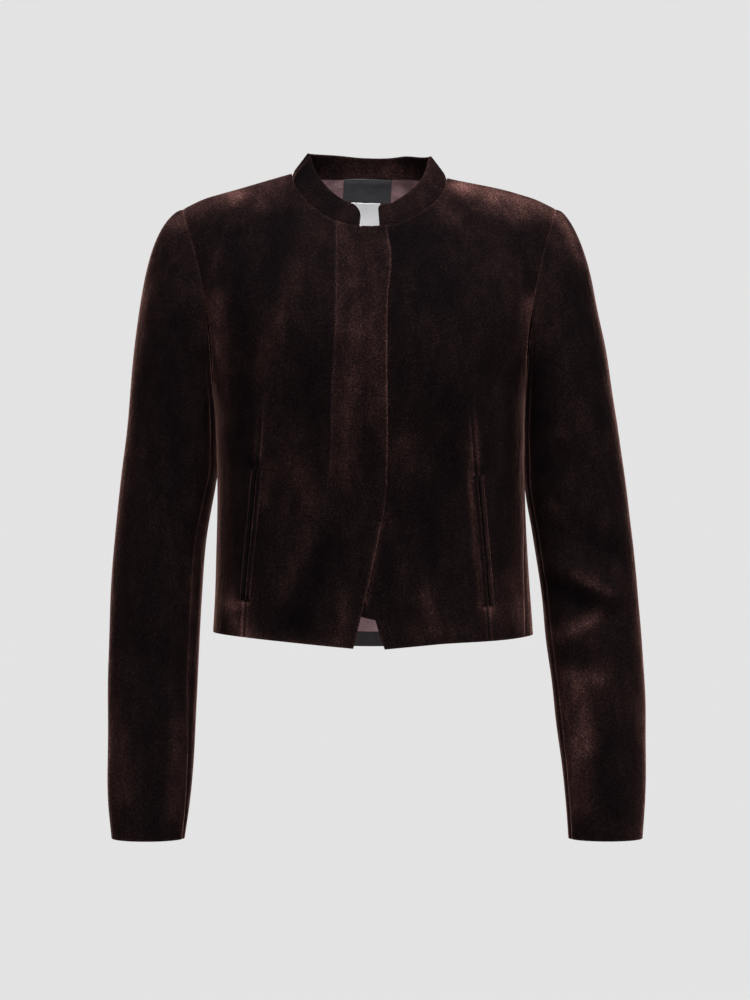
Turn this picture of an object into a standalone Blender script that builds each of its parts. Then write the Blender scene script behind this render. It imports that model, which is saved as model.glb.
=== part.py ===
"""Cropped velvet jacket, hollow and filled out as if worn.

All sizes below are in millimetres; meshes are written in metres.
X runs to the wearer's left, Y to the back, Z up. The origin is the middle of
the neck base, level with the inner ends of the shoulder seams.
Fronts, darts, edges and armholes are stated by how far they lie to their own
side of the centre line, so that one function serves both sides.
"""

import math
from collections import namedtuple

import bmesh
import bpy
import numpy as np

MM = 0.001
RIGHT = -1.0
LEFT = 1.0

# Thickness of each cloth, and the gap kept where two pieces are sewn together
VELVET_WALL = 2.0
COLLAR_WALL = 3.0
PLACKET_WALL = 1.2
LINING_WALL = 1.0
FACING_WALL = 1.2
LABEL_WALL = 1.0
SEAM_GAP = 0.3
UNDERLAP_GAP = 0.45
ARMHOLE_GAP = 0.45
SLEEVE_SEAM_GAP = 0.4

# The body's form: level rings below the arms, rolled over the shoulders above
ROUNDNESS = 2.3
RIDGE_Y = 8.0
UNDERARM_Z = -215.0
SHOULDER_PEAK = 31.0
SHOULDER_SLOPE = 0.30
SHOULDER_ROUND = 40.0
SHOULDER_ROLL = 3.5
SHOULDER_HALF = 188.0
INSIDE_EDGE = 0.99995
PROBE = 0.004

Section = namedtuple("Section", "z half_width front_depth back_depth shift")
BODY_SECTIONS = (
    Section(-480.0, 162.0, 110.0, 104.0, 4.0),
    Section(-400.0, 157.0, 110.0, 97.0, 2.8),
    Section(-330.0, 154.4, 112.0, 95.0, 2.0),
    Section(-270.0, 154.4, 118.0, 101.0, 1.0),
    Section(-215.0, 157.0, 123.0, 109.0, 0.0),
    Section(-130.0, 183.0, 116.0, 114.0, 0.0),
    Section(-60.0, 198.0, 92.0, 111.0, 0.0),
    Section(0.0, 204.0, 74.0, 101.0, 0.0),
    Section(40.0, 206.0, 66.0, 92.0, 0.0),
)

# Hem heights at the centre front, the sides and the centre back
HEM_FRONT = -469.0
HEM_SIDE = -454.0
HEM_BACK = -472.0

# The neck seam
NECK_HALF = 78.0
NECK_BACK_Z = 4.5
NECK_DROP = 58.5
NECK_CURVE = 1.6
UNDERLAP_RISE = 3.0
UNDERLAP_RISE_ENDS = (8.0, 30.0)

# Where the side seam lies around the ring, in degrees from the centre front
SIDE_SEAM_TOP = 90.0
SIDE_SEAM_HEM = {RIGHT: 90.0, LEFT: 69.0}

# Front edges by height, counted from the centre line to the front's own side, and
# where the left front comes out from under the right one
FrontEdge = namedtuple("FrontEdge", "z right left")
FRONT_EDGE = (
    FrontEdge(-470.0, 16.4, 16.4),
    FrontEdge(-435.0, 8.0, 8.0),
    FrontEdge(-410.0, 1.6, 1.6),
    FrontEdge(-381.0, -4.6, -4.6),
    FrontEdge(-353.0, -10.4, -10.4),
    FrontEdge(-326.0, -15.7, -15.7),
    FrontEdge(-297.0, -17.3, -17.3),
    FrontEdge(-172.0, -17.3, -17.3),
    FrontEdge(-123.0, -18.2, -17.3),
    FrontEdge(-84.0, -21.4, -13.5),
    FrontEdge(-56.0, -17.5, -7.6),
)

UNDERLAP_ENDS = (24.0, 62.0)

# The fly's stitched side, and the dart that runs on through the pocket
FlyLine = namedtuple("FlyLine", "z away")
FLY_LINE = (
    FlyLine(-470.0, 46.0),
    FlyLine(-335.0, 42.5),
    FlyLine(-286.0, 38.0),
    FlyLine(-205.0, 36.3),
    FlyLine(-122.0, 34.0),
    FlyLine(-50.0, 33.5),
)
DartLine = namedtuple("DartLine", "z right left")
DART_LINE = (
    DartLine(-470.0, 124.6, 119.4),
    DartLine(-424.0, 122.0, 116.4),
    DartLine(-293.0, 110.0, 105.0),
    DartLine(-215.0, 105.0, 98.0),
)
DART_TOP_Z = -228.0
DART_FADE = 30.0
DART_DEPTH = 0.9

# Armhole seam: depth below the shoulder point as a share of the whole, and
# how far from the centre line the seam lies in front and behind
ArmholeRow = namedtuple("ArmholeRow", "drop front back")
ARMHOLE = (
    ArmholeRow(0.00, 188.0, 188.0),
    ArmholeRow(0.20, 176.5, 182.0),
    ArmholeRow(0.45, 165.6, 175.5),
    ArmholeRow(0.70, 158.4, 168.0),
    ArmholeRow(0.90, 156.6, 160.0),
    ArmholeRow(1.00, 157.0, 157.0),
)

# Rows of every panel, as shares from the hem to the underarm, then above it
LOWER_ROWS = (0.0, 0.058, 0.15, 0.25, 0.35, 0.45, 0.55, 0.66, 0.77, 0.88, 1.0)
UPPER_COUNT = 10
UPPER_EASE = 1.9
SETTLE_ROUNDS = 4
LEAST_ROW_STEP = 0.15

# Columns of a front: neck seam places, then how many lie on the shoulder
NECK_PLACES = (-3.0, 10.0, 22.0, 33.5, 47.0, 60.5, 71.0, 78.0)
COLLAR_COLUMN = 2
FLY_COLUMN = 4
NECK_COLUMN = 8
DART_COLUMN = 11
FRONT_COLUMNS = 17

# Columns of half a back
BACK_NECK_PLACES = (0.0, 18.0, 36.0, 53.0, 67.0, 78.0)
BACK_COLUMNS = 11

# Sleeves: outer and inner sides as seen from the front, middle in depth,
# girth, and how far the front seam lies from the inner side
SleeveRow = namedtuple("SleeveRow", "z outer inner middle girth seam")
SLEEVES = {
    RIGHT: (
        SleeveRow(-658.0, 255.6, 183.0, -30.0, 238.0, 1.0),
        SleeveRow(-622.0, 258.8, 178.2, -27.0, 254.0, 2.6),
        SleeveRow(-576.0, 260.4, 174.2, -22.0, 268.0, 4.8),
        SleeveRow(-529.0, 260.6, 172.2, -17.0, 279.0, 7.6),
        SleeveRow(-482.0, 260.0, 170.2, -11.0, 288.0, 8.4),
        SleeveRow(-419.0, 258.4, 167.4, -5.0, 298.0, 8.8),
        SleeveRow(-355.0, 253.7, 162.0, 0.0, 308.0, 8.4),
        SleeveRow(-307.0, 249.0, 153.2, 3.0, 318.0, 6.6),
        SleeveRow(-262.0, 244.0, 154.0, 5.0, 324.0, 6.0),
    ),
    LEFT: (
        SleeveRow(-658.0, 271.8, 197.2, -28.0, 240.0, 1.8),
        SleeveRow(-622.0, 273.0, 195.0, -25.0, 254.0, 2.2),
        SleeveRow(-576.0, 275.0, 190.0, -20.0, 269.0, 3.2),
        SleeveRow(-529.0, 275.0, 184.8, -14.0, 282.0, 3.8),
        SleeveRow(-482.0, 273.2, 178.6, -8.0, 294.0, 4.4),
        SleeveRow(-419.0, 269.0, 171.6, -2.0, 306.0, 4.4),
        SleeveRow(-355.0, 262.8, 162.4, 2.0, 316.0, 4.0),
        SleeveRow(-307.0, 256.4, 157.0, 4.0, 324.0, 4.0),
        SleeveRow(-262.0, 250.0, 156.2, 5.0, 327.0, 5.0),
    ),
}
SLEEVE_RINGS = 17
CAP_RINGS = 8
FRONT_SEAM_COLUMN = 8
BACK_SEAM_COLUMN = 13

# How the cloth leaves the armhole seam: level over the shoulder, down under the arm
CAP_SIDEWAYS = 0.58
CAP_SIDEWAYS_SWING = 0.42
CAP_FORWARD_SWING = 0.30
CAP_DROP = 0.45
CAP_DROP_SWING = 0.53
CAP_START_PULL = {RIGHT: 0.43, LEFT: 0.29}
CAP_END_PULL = 1.05

# The largest folds of the sleeves, seen from the front: both ends, half width
# and height above the cloth around it
Fold = namedtuple("Fold", "side start_x start_z end_x end_z half_width height")
FOLDS = (
    Fold(LEFT, 186.0, -384.0, 240.0, -418.0, 11.0, 4.5),
    Fold(LEFT, 182.0, -410.0, 236.0, -440.0, 11.0, -3.5),
    Fold(LEFT, 205.0, -352.0, 262.0, -384.0, 12.0, -3.0),
    Fold(RIGHT, -238.0, -470.0, -190.0, -500.0, 16.0, -2.0),
    Fold(RIGHT, -190.0, -330.0, -240.0, -372.0, 18.0, -2.0),
)

# Stand collar: lean towards the neck in degrees and height, by the angle around
# the neck from the centre front, and the rounding of its front ends
COLLAR_ROWS = (0.0, 0.35, 0.7, 1.0)
COLLAR_END_RADIUS = 14.0
COLLAR_END_STEPS = (0.0, 0.2, 0.45, 0.75)
NECK_MIDDLE_Y = -4.0
CollarRow = namedtuple("CollarRow", "around lean height")
COLLAR = (
    CollarRow(0.0, 34.0, 27.0),
    CollarRow(90.0, 40.0, 27.0),
    CollarRow(130.0, 30.0, 24.5),
    CollarRow(180.0, 8.0, 19.5),
)

# Fly: where its raised layer ends, and over how much it thins out
FLY_END_Z = -338.0
FLY_THIN_LENGTH = 70.0
FLY_THIN_WALL = 0.5

# Pocket jets: both ends, width of one jet, gap of the slit between them
Pocket = namedtuple("Pocket", "top_z bottom_z jet slit")
POCKETS = {
    RIGHT: Pocket(-292.0, -421.0, 6.2, 1.0),
    LEFT: Pocket(-298.0, -426.0, 5.0, 1.0),
}
JET_HEIGHTS = (0.9, 2.1, 2.1, 0.9)
JET_SHARES = (0.0, 0.28, 0.72, 1.0)
JET_END_SHARE = 0.45

# Labels inside the back neck
Label = namedtuple("Label", "left_x right_x top_z bottom_z rows columns")
NECK_LABEL = Label(-26.5, 22.5, 1.0, -21.0, 4, 6)
CARE_LABEL = Label(-19.0, 11.0, -21.8, -64.0, 5, 4)

Finish = namedtuple("Finish", "colour roughness")
FINISHES = {
    "velvet": Finish((0.026, 0.012, 0.010), 0.95),
    "lining_satin": Finish((0.110, 0.068, 0.066), 0.42),
    "hem_cloth": Finish((0.024, 0.021, 0.021), 0.80),
    "label_black": Finish((0.036, 0.036, 0.038), 0.60),
    "label_white": Finish((0.600, 0.590, 0.610), 0.50),
}


def clear_scene():
    """Remove whatever objects the file starts with."""
    for item in list(bpy.data.objects):
        bpy.data.objects.remove(item, do_unlink=True)


def make_finish(name):
    """One plain material for a kind of cloth."""
    finish = FINISHES[name]
    material = bpy.data.materials.new(name)
    material.use_nodes = True
    shader = material.node_tree.nodes["Principled BSDF"]
    shader.inputs["Base Color"].default_value = (*finish.colour, 1.0)
    shader.inputs["Roughness"].default_value = finish.roughness
    shader.inputs["Metallic"].default_value = 0.0
    return material


def hermite(start, start_pull, end, end_pull, share):
    """A cubic from start to end that leaves and arrives along the two pulls."""
    square = share * share
    cube = square * share
    leave = start * (2 * cube - 3 * square + 1) + start_pull * (cube - 2 * square + share)
    return leave + end * (3 * square - 2 * cube) + end_pull * (cube - square)


def through(table, column, at):
    """Read a smooth curve through one column of a table, by its first column."""
    keys = np.array([row[0] for row in table], dtype=float)
    values = np.array([getattr(row, column) for row in table], dtype=float)
    slopes = np.gradient(values, keys)
    at = np.clip(at, keys[0], keys[-1])
    index = np.clip(np.searchsorted(keys, at, side="right") - 1, 0, len(keys) - 2)
    span = keys[index + 1] - keys[index]
    share = (at - keys[index]) / span
    return hermite(values[index], slopes[index] * span,
                   values[index + 1], slopes[index + 1] * span, share)


def smoothstep(low, high, value):
    """Zero below low, one above high, eased between them."""
    share = np.clip((value - low) / (high - low), 0.0, 1.0)
    return share * share * (3.0 - 2.0 * share)


def shoulder_height(x):
    """Height of the shoulder ridge, carried on over the neck."""
    return SHOULDER_PEAK - SHOULDER_SLOPE * np.hypot(x, SHOULDER_ROUND)


def body_depth(x, z, surface):
    """How far the cloth lies in front of or behind the shoulder ridge."""
    depth = through(BODY_SECTIONS, "back_depth" if surface > 0 else "front_depth", z)
    across = np.abs(x - through(BODY_SECTIONS, "shift", z)) / through(BODY_SECTIONS, "half_width", z)
    across = np.clip(across, 0.0, 1.0)
    rise = np.clip((z - UNDERARM_Z) / (shoulder_height(x) - UNDERARM_Z), 0.0, 1.0)
    rolled = np.sqrt(1.0 - rise ** SHOULDER_ROLL)
    return depth * (1.0 - across ** ROUNDNESS) ** (1.0 / ROUNDNESS) * rolled


def body_points(x, z, surface, panel):
    """Places on the body's form; panel says which side of the seam gap they keep to."""
    y = RIDGE_Y + surface * body_depth(x, z, surface) + panel * SEAM_GAP / 2
    return np.stack([x, y, z], axis=-1)


def body_normals(x, z, surface):
    """Outward directions of the body's form."""
    shift = through(BODY_SECTIONS, "shift", z)
    reach = INSIDE_EDGE * through(BODY_SECTIONS, "half_width", z)
    x = shift + np.clip(x - shift, -reach, reach)
    z = np.minimum(z, UNDERARM_Z + INSIDE_EDGE * (shoulder_height(x) - UNDERARM_Z))
    along_x = body_depth(x + PROBE, z, surface) - body_depth(x - PROBE, z, surface)
    along_z = body_depth(x, z + PROBE, surface) - body_depth(x, z - PROBE, surface)
    facing = surface * 2 * PROBE * np.ones_like(x)
    normal = np.stack([-along_x, facing, -along_z], axis=-1)
    return normal / np.linalg.norm(normal, axis=-1, keepdims=True)


def body_form(x, z, surfaces, panel):
    """Points and outward directions where each place names its own surface."""
    front = surfaces < 0
    points = np.where(front[..., None], body_points(x, z, -1, panel), body_points(x, z, 1, panel))
    normals = np.where(front[..., None], body_normals(x, z, -1), body_normals(x, z, 1))
    return points, normals


def ring_x(degrees, z, side):
    """Sideways place at an angle around the ring, from the centre front."""
    lean = np.abs(np.sin(np.radians(degrees))) ** (2.0 / ROUNDNESS)
    return through(BODY_SECTIONS, "shift", z) + side * through(BODY_SECTIONS, "half_width", z) * lean


def ring_angle(x, z, side):
    """The angle around the front half of the ring of a sideways place."""
    shift = through(BODY_SECTIONS, "shift", z)
    share = side * (x - shift) / through(BODY_SECTIONS, "half_width", z)
    share = np.clip(share, 0.0, 1.0)
    return np.degrees(np.arcsin(share ** (ROUNDNESS / 2.0)))


def hem_height(x, z, behind):
    """Height of the hem, from the centre to the side; straight in front, curved behind."""
    share = np.abs(x - through(BODY_SECTIONS, "shift", z)) / through(BODY_SECTIONS, "half_width", z)
    share = np.clip(share, 0.0, 1.0)
    front = HEM_FRONT + (HEM_SIDE - HEM_FRONT) * share
    back = HEM_BACK + (HEM_SIDE - HEM_BACK) * share ** 2
    return np.where(behind, back, front)


def side_seam_angle(z, side):
    """Where the side seam lies around the ring at a height."""
    share = np.clip((z - UNDERARM_Z) / (HEM_SIDE - UNDERARM_Z), 0.0, 1.0)
    return SIDE_SEAM_TOP + (SIDE_SEAM_HEM[side] - SIDE_SEAM_TOP) * share


def edge_column(side):
    """Name of the table column that belongs to one side."""
    return "right" if side == RIGHT else "left"


def front_neck_height(away, side):
    """Height of the neck seam on a front."""
    share = np.clip(np.abs(away) / NECK_HALF, 0.0, 1.0)
    top = shoulder_height(NECK_HALF)
    drop = NECK_DROP * (1.0 - share ** 2) ** (1.0 / NECK_CURVE)
    rise = UNDERLAP_RISE * (1.0 - smoothstep(*UNDERLAP_RISE_ENDS, away)) if side == LEFT else 0.0
    return top - drop + rise


def armhole_away(z, column):
    """How far from the centre line the armhole seam lies at a height."""
    top = shoulder_height(SHOULDER_HALF)
    return through(ARMHOLE, column, (top - z) / (top - UNDERARM_Z))


def upper_shares():
    """Shares of the way from the underarm to the top edge, closer near the top."""
    step = np.linspace(0.0, 1.0, UPPER_COUNT + 1)
    return 1.0 - (1.0 - step) ** UPPER_EASE


def front_lower(side):
    """Sideways places and heights of a front, from the hem to the underarm."""
    column = edge_column(side)
    rows = np.array(LOWER_ROWS)[:, None]
    x = np.zeros((len(LOWER_ROWS), FRONT_COLUMNS + 1))
    z = np.repeat(HEM_SIDE * (1.0 - rows) + UNDERARM_Z * rows, FRONT_COLUMNS + 1, axis=1)
    for _ in range(SETTLE_ROUNDS):
        edge = side * through(FRONT_EDGE, column, z[:, 0])
        fly = side * through(FLY_LINE, "away", z[:, FLY_COLUMN])
        dart = side * through(DART_LINE, column, z[:, DART_COLUMN])
        for index in range(FLY_COLUMN + 1):
            x[:, index] = edge + (fly - edge) * index / FLY_COLUMN
        for index in range(FLY_COLUMN, DART_COLUMN + 1):
            share = (index - FLY_COLUMN) / (DART_COLUMN - FLY_COLUMN)
            x[:, index] = fly + (dart - fly) * share
        start = ring_angle(dart, z[:, DART_COLUMN], side)
        for index in range(DART_COLUMN, FRONT_COLUMNS + 1):
            share = (index - DART_COLUMN) / (FRONT_COLUMNS - DART_COLUMN)
            end = side_seam_angle(z[:, index], side)
            x[:, index] = ring_x(start + (end - start) * share, z[:, index], side)
        z = hem_height(x, z, False) * (1.0 - rows) + UNDERARM_Z * rows
    return x, z


def upper_places(lower_x, top_away, top_z, inner_edge, armhole, side):
    """Places from the underarm to the neck and shoulder, in step with the lower ones."""
    shares = upper_shares()[:, None]
    columns = np.linspace(0.0, 1.0, lower_x.shape[0])
    z = UNDERARM_Z + shares * (top_z[None, :] - UNDERARM_Z)
    away = side * lower_x[None, :] * (1.0 - shares) + top_away[None, :] * shares
    inner = inner_edge(z[:, :1])
    outer = armhole(z[:, -1:])
    inner_bend = inner - (inner[0] * (1.0 - shares) + inner[-1] * shares)
    outer_bend = outer - (outer[0] * (1.0 - shares) + outer[-1] * shares)
    away = away + (1.0 - columns) * inner_bend + columns * outer_bend
    return side * away, z


def dart_trough(z):
    """Depth of the dart's trough at a height."""
    return DART_DEPTH * (1.0 - smoothstep(DART_TOP_Z - DART_FADE, DART_TOP_Z, z))


def front_panel(side):
    """Outer points and directions of one front, hem to shoulder, edge to side."""
    column = edge_column(side)
    low_x, low_z = front_lower(side)
    edge_top = through(FRONT_EDGE, column, 0.0)
    shoulder = np.linspace(NECK_HALF, SHOULDER_HALF, FRONT_COLUMNS - NECK_COLUMN + 1)
    top_away = np.concatenate([[edge_top], NECK_PLACES, shoulder[1:]])
    neck_z = front_neck_height(top_away, side)
    top_z = np.where(top_away <= NECK_HALF, neck_z, shoulder_height(top_away))
    high_x, high_z = upper_places(
        low_x[-1], top_away, top_z,
        lambda z: through(FRONT_EDGE, column, z),
        lambda z: armhole_away(z, "front"), side)
    x = np.concatenate([low_x, high_x[1:]])
    z = np.concatenate([low_z, high_z[1:]])
    points, normals = body_form(x, z, -np.ones_like(x), -1)
    if side == LEFT:
        lapped = 1.0 - smoothstep(*UNDERLAP_ENDS, side * x)
        points = points - normals * ((VELVET_WALL + UNDERLAP_GAP) * lapped)[..., None]
    trough = dart_trough(z[:, DART_COLUMN])[:, None]
    outer = points.copy()
    outer[:, DART_COLUMN] -= normals[:, DART_COLUMN] * trough
    return outer, points, normals


def back_half(side):
    """Sideways places, heights and surfaces of half a back, centre to side."""
    rows = np.array(LOWER_ROWS)[:, None]
    columns = np.linspace(0.0, 1.0, BACK_COLUMNS + 1)
    z = np.repeat(HEM_SIDE * (1.0 - rows) + UNDERARM_Z * rows, BACK_COLUMNS + 1, axis=1)
    for _ in range(SETTLE_ROUNDS):
        angle = 180.0 + (side_seam_angle(z, side) - 180.0) * columns
        x = ring_x(angle, z, side)
        z = hem_height(x, z, angle > 90.0) * (1.0 - rows) + UNDERARM_Z * rows
    surfaces = np.where(angle >= 90.0, 1, -1)
    shoulder = np.linspace(NECK_HALF, SHOULDER_HALF, BACK_COLUMNS - len(BACK_NECK_PLACES) + 2)
    top_away = np.concatenate([BACK_NECK_PLACES, shoulder[1:]])
    level = NECK_BACK_Z + (shoulder_height(NECK_HALF) - NECK_BACK_Z) * (top_away / NECK_HALF) ** 2
    top_z = np.where(top_away <= NECK_HALF, level, shoulder_height(top_away))
    high_x, high_z = upper_places(
        x[-1], top_away, top_z, lambda height: 0.0 * height,
        lambda height: armhole_away(height, "back"), side)
    x = np.concatenate([x, high_x[1:]])
    z = np.concatenate([z, high_z[1:]])
    surfaces = np.concatenate([surfaces, np.ones_like(high_x[1:], dtype=int)])
    return x, z, surfaces


def back_panel():
    """Outer points and directions of the back, from the right side to the left."""
    right = back_half(RIGHT)
    left = back_half(LEFT)
    x, z, surfaces = [np.concatenate([a[:, :0:-1], b], axis=1) for a, b in zip(right, left)]
    return body_form(x, z, surfaces, 1)


def square_to(along, around):
    """Unit directions square to two ways across a grid."""
    normal = np.cross(along, around)
    return normal / np.linalg.norm(normal, axis=-1, keepdims=True)


def armhole_ring(front, back, side):
    """The armhole seam as a ring: shoulder point, front, underarm, back."""
    base = len(LOWER_ROWS) - 1
    front_side = front[base:, -1]
    back_side = back[base:, 0 if side == RIGHT else -1]
    top = (front_side[-1] + back_side[-1]) / 2
    under = (front_side[0] + back_side[0]) / 2
    return np.concatenate([[top], front_side[-2:0:-1], [under], back_side[1:-1]])


def ring_shares(ring):
    """Angles around a sleeve, in degrees, in step with lengths along the armhole."""
    steps = np.linalg.norm(np.roll(ring, -1, axis=0) - ring, axis=1)
    half = len(ring) // 2
    front = np.concatenate([[0.0], np.cumsum(steps[:half])]) / steps[:half].sum()
    back = np.concatenate([[0.0], np.cumsum(steps[half:])]) / steps[half:].sum()
    return np.concatenate([180.0 * front, 180.0 + 180.0 * back[1:-1]])


def sleeve_ring(z, angles, side):
    """One level ring of a sleeve's tube; angle 0 is outside, 90 in front."""
    table = SLEEVES[side]
    outer = through(table, "outer", z)
    inner = through(table, "inner", z)
    half_width = (outer - inner) / 2
    mean_radius = through(table, "girth", z) / (2 * math.pi)
    half_depth = math.sqrt(2 * mean_radius ** 2 - half_width ** 2)
    seam = 180.0 - math.degrees(math.acos(1.0 - through(table, "seam", z) / half_width))
    knots = (0.0, angles[FRONT_SEAM_COLUMN], 180.0, 360.0)
    turned = np.radians(np.interp(angles, knots, (0.0, seam, 180.0, 360.0)))
    x = side * ((outer + inner) / 2 + half_width * np.cos(turned))
    y = through(table, "middle", z) - half_depth * np.sin(turned)
    return np.stack([x, y, np.full_like(x, z)], axis=-1)


def sleeve_start(angles, side):
    """The way the sleeve's cloth leaves the armhole seam."""
    cosine = np.cos(np.radians(angles))
    sine = np.sin(np.radians(angles))
    sideways = side * (CAP_SIDEWAYS + CAP_SIDEWAYS_SWING * cosine)
    way = np.stack([sideways, -CAP_FORWARD_SWING * sine, CAP_DROP_SWING * cosine - CAP_DROP], axis=-1)
    return way / np.linalg.norm(way, axis=-1, keepdims=True)


def sleeve_grid(ring, side):
    """Outer points of a whole sleeve, armhole to cuff."""
    angles = ring_shares(ring)
    start_way = sleeve_start(angles, side)
    top_z = SLEEVES[side][-1].z
    first = ring + start_way * ARMHOLE_GAP
    last = sleeve_ring(top_z, angles, side)
    reach = np.linalg.norm(last - first, axis=-1, keepdims=True)
    end_way = sleeve_ring(top_z - 1.0, angles, side) - last
    end_way /= np.linalg.norm(end_way, axis=-1, keepdims=True)
    cap = [hermite(first, start_way * reach * CAP_START_PULL[side], last,
                   end_way * reach * CAP_END_PULL, step / CAP_RINGS)
           for step in range(CAP_RINGS)]
    heights = np.linspace(top_z, SLEEVES[side][0].z, SLEEVE_RINGS + 1)
    tube = [sleeve_ring(height, angles, side) for height in heights]
    return np.array(cap + tube), start_way


def tube_normals(grid, start_way, side):
    """Outward directions of a closed tube that leaves its first ring one known way."""
    along = np.gradient(grid, axis=0)
    along[0] = start_way
    around = np.roll(grid, -1, axis=1) - np.roll(grid, 1, axis=1)
    return square_to(along, around) * -side


def fold_height(grid, normals, side):
    """How far the sleeve's folds lift each point off the smooth form."""
    lift = np.zeros(grid.shape[:2])
    flat = grid[..., (0, 2)]
    for fold in FOLDS:
        if fold.side != side:
            continue
        start = np.array([fold.start_x, fold.start_z])
        way = np.array([fold.end_x, fold.end_z]) - start
        share = ((flat - start) @ way) / (way @ way)
        nearest = start + np.clip(share, 0.0, 1.0)[..., None] * way
        away = np.linalg.norm(flat - nearest, axis=-1) / fold.half_width
        lift += fold.height * np.exp(-away ** 2) * np.clip(-normals[..., 1], 0.0, 1.0)
    return lift


def sleeve_pieces(ring, side):
    """Outer and inner grids of the top sleeve and the under sleeve."""
    grid, start_way = sleeve_grid(ring, side)
    normals = tube_normals(grid, start_way, side)
    grid = grid + normals * fold_height(grid, normals, side)[..., None]
    normals = tube_normals(grid, start_way, side)
    count = grid.shape[1]
    top = [index % count for index in range(BACK_SEAM_COLUMN, count + FRONT_SEAM_COLUMN + 1)]
    under = list(range(FRONT_SEAM_COLUMN, BACK_SEAM_COLUMN + 1))
    pieces = []
    for columns in (top, under):
        outer = grid[:, columns].copy()
        first_way = outer[:, 1] - outer[:, 0]
        last_way = outer[:, -2] - outer[:, -1]
        pull = SLEEVE_SEAM_GAP / 2
        first_step = first_way / np.linalg.norm(first_way, axis=-1, keepdims=True) * pull
        last_step = last_way / np.linalg.norm(last_way, axis=-1, keepdims=True) * pull
        inner = outer - normals[:, columns] * VELVET_WALL
        for layer in (outer, inner):
            layer[:, 0] += first_step
            layer[:, -1] += last_step
        pieces.append((outer, inner))
    return pieces


def collar_base(front_right, back, front_left):
    """The neck seam from the collar's right end round the back to its left end."""
    span = slice(COLLAR_COLUMN, NECK_COLUMN + 1)
    right = front_right[-1, span]
    left = front_left[-1, span][::-1]
    shoulder_columns = BACK_COLUMNS - len(BACK_NECK_PLACES) + 1
    behind = back[-1, shoulder_columns:back.shape[1] - shoulder_columns]
    right_side = (right[-1] + behind[0]) / 2
    left_side = (left[0] + behind[-1]) / 2
    ends = np.array(COLLAR_END_STEPS)[:, None]
    right_end = right[0] * (1.0 - ends) + right[1] * ends
    left_end = left[-1] * (1.0 - ends[::-1]) + left[-2] * ends[::-1]
    return np.concatenate([right_end, right[1:-1], [right_side], behind[1:-1],
                           [left_side], left[1:-1], left_end])


def collar_grids(base):
    """Outer and inner grids of the stand collar."""
    flat = base[:, :2] - np.array([0.0, NECK_MIDDLE_Y])
    inward = -flat / np.linalg.norm(flat, axis=1, keepdims=True)
    around = np.degrees(np.arctan2(np.abs(flat[:, 0]), -flat[:, 1]))
    lean = np.radians(through(COLLAR, "lean", around))
    rise = np.stack([inward[:, 0] * np.sin(lean), inward[:, 1] * np.sin(lean), np.cos(lean)], axis=-1)
    run = np.concatenate([[0.0], np.cumsum(np.linalg.norm(np.diff(base, axis=0), axis=1))])
    end = np.minimum(np.minimum(run, run[-1] - run), COLLAR_END_RADIUS)
    rounded = np.sqrt(COLLAR_END_RADIUS ** 2 - (COLLAR_END_RADIUS - end) ** 2)
    height = through(COLLAR, "height", around) - COLLAR_END_RADIUS + rounded
    rows = np.array(COLLAR_ROWS)[:, None]
    outer = base + rise * (SEAM_GAP + rows * height)[..., None]
    normals = square_to(np.gradient(outer, axis=0), np.gradient(outer, axis=1))
    away = np.einsum("rcd,cd->rc", normals[..., :2], -inward)
    normals = normals * np.sign(away)[..., None]
    return outer, outer - normals * COLLAR_WALL


def read_grid(grid, row, column):
    """A place between the points of a grid, at fractional row and column."""
    row_low = np.clip(np.floor(row).astype(int), 0, grid.shape[0] - 2)
    column_low = np.clip(np.floor(column).astype(int), 0, grid.shape[1] - 2)
    down = (row - row_low)[..., None]
    over = (column - column_low)[..., None]
    near = grid[row_low, column_low] * (1 - over) + grid[row_low, column_low + 1] * over
    far = grid[row_low + 1, column_low] * (1 - over) + grid[row_low + 1, column_low + 1] * over
    return near * (1 - down) + far * down


def fly_grids(outer, normals):
    """The raised layer of the fly, on the right front's edge columns."""
    edge_z = outer[:, FLY_COLUMN, 2]
    first = float(np.interp(FLY_END_Z, edge_z, np.arange(len(edge_z))))
    rows = np.concatenate([[first], np.arange(math.ceil(first + LEAST_ROW_STEP), len(edge_z))])
    rows, columns = np.meshgrid(rows, np.arange(FLY_COLUMN + 1.0), indexing="ij")
    seat = read_grid(outer, rows, columns)
    facing = read_grid(normals, rows, columns)
    full = smoothstep(FLY_END_Z, FLY_END_Z + FLY_THIN_LENGTH, seat[..., 2])
    wall = FLY_THIN_WALL + (PLACKET_WALL - FLY_THIN_WALL) * full
    return seat + facing * (SEAM_GAP + wall)[..., None], seat + facing * SEAM_GAP


def jet_grids(outer, normals, side, toward):
    """One jet of a pocket, along the dart column; toward is -1 front, 1 side."""
    pocket = POCKETS[side]
    line_z = outer[:, DART_COLUMN, 2]
    count = np.arange(len(line_z))
    first = float(np.interp(pocket.bottom_z, line_z, count))
    last = float(np.interp(pocket.top_z, line_z, count))
    middle = np.arange(math.ceil(first + LEAST_ROW_STEP), math.floor(last - LEAST_ROW_STEP) + 1.0)
    rows = np.concatenate([[first], middle, [last]])
    spacing = np.linalg.norm(outer[:, DART_COLUMN + toward] - outer[:, DART_COLUMN], axis=1)
    per_row = np.interp(rows, count, spacing)[:, None]
    across = pocket.slit / 2 + pocket.jet * np.array(JET_SHARES)[None, :]
    columns = DART_COLUMN + toward * across / per_row
    rows = np.repeat(rows[:, None], len(JET_SHARES), axis=1)
    seat = read_grid(outer, rows, columns)
    facing = read_grid(normals, rows, columns)
    heights = np.repeat(np.array(JET_HEIGHTS)[None, :], len(rows), axis=0)
    heights[0] *= JET_END_SHARE
    heights[-1] *= JET_END_SHARE
    return seat + facing * (SEAM_GAP + heights)[..., None], seat + facing * SEAM_GAP


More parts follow.
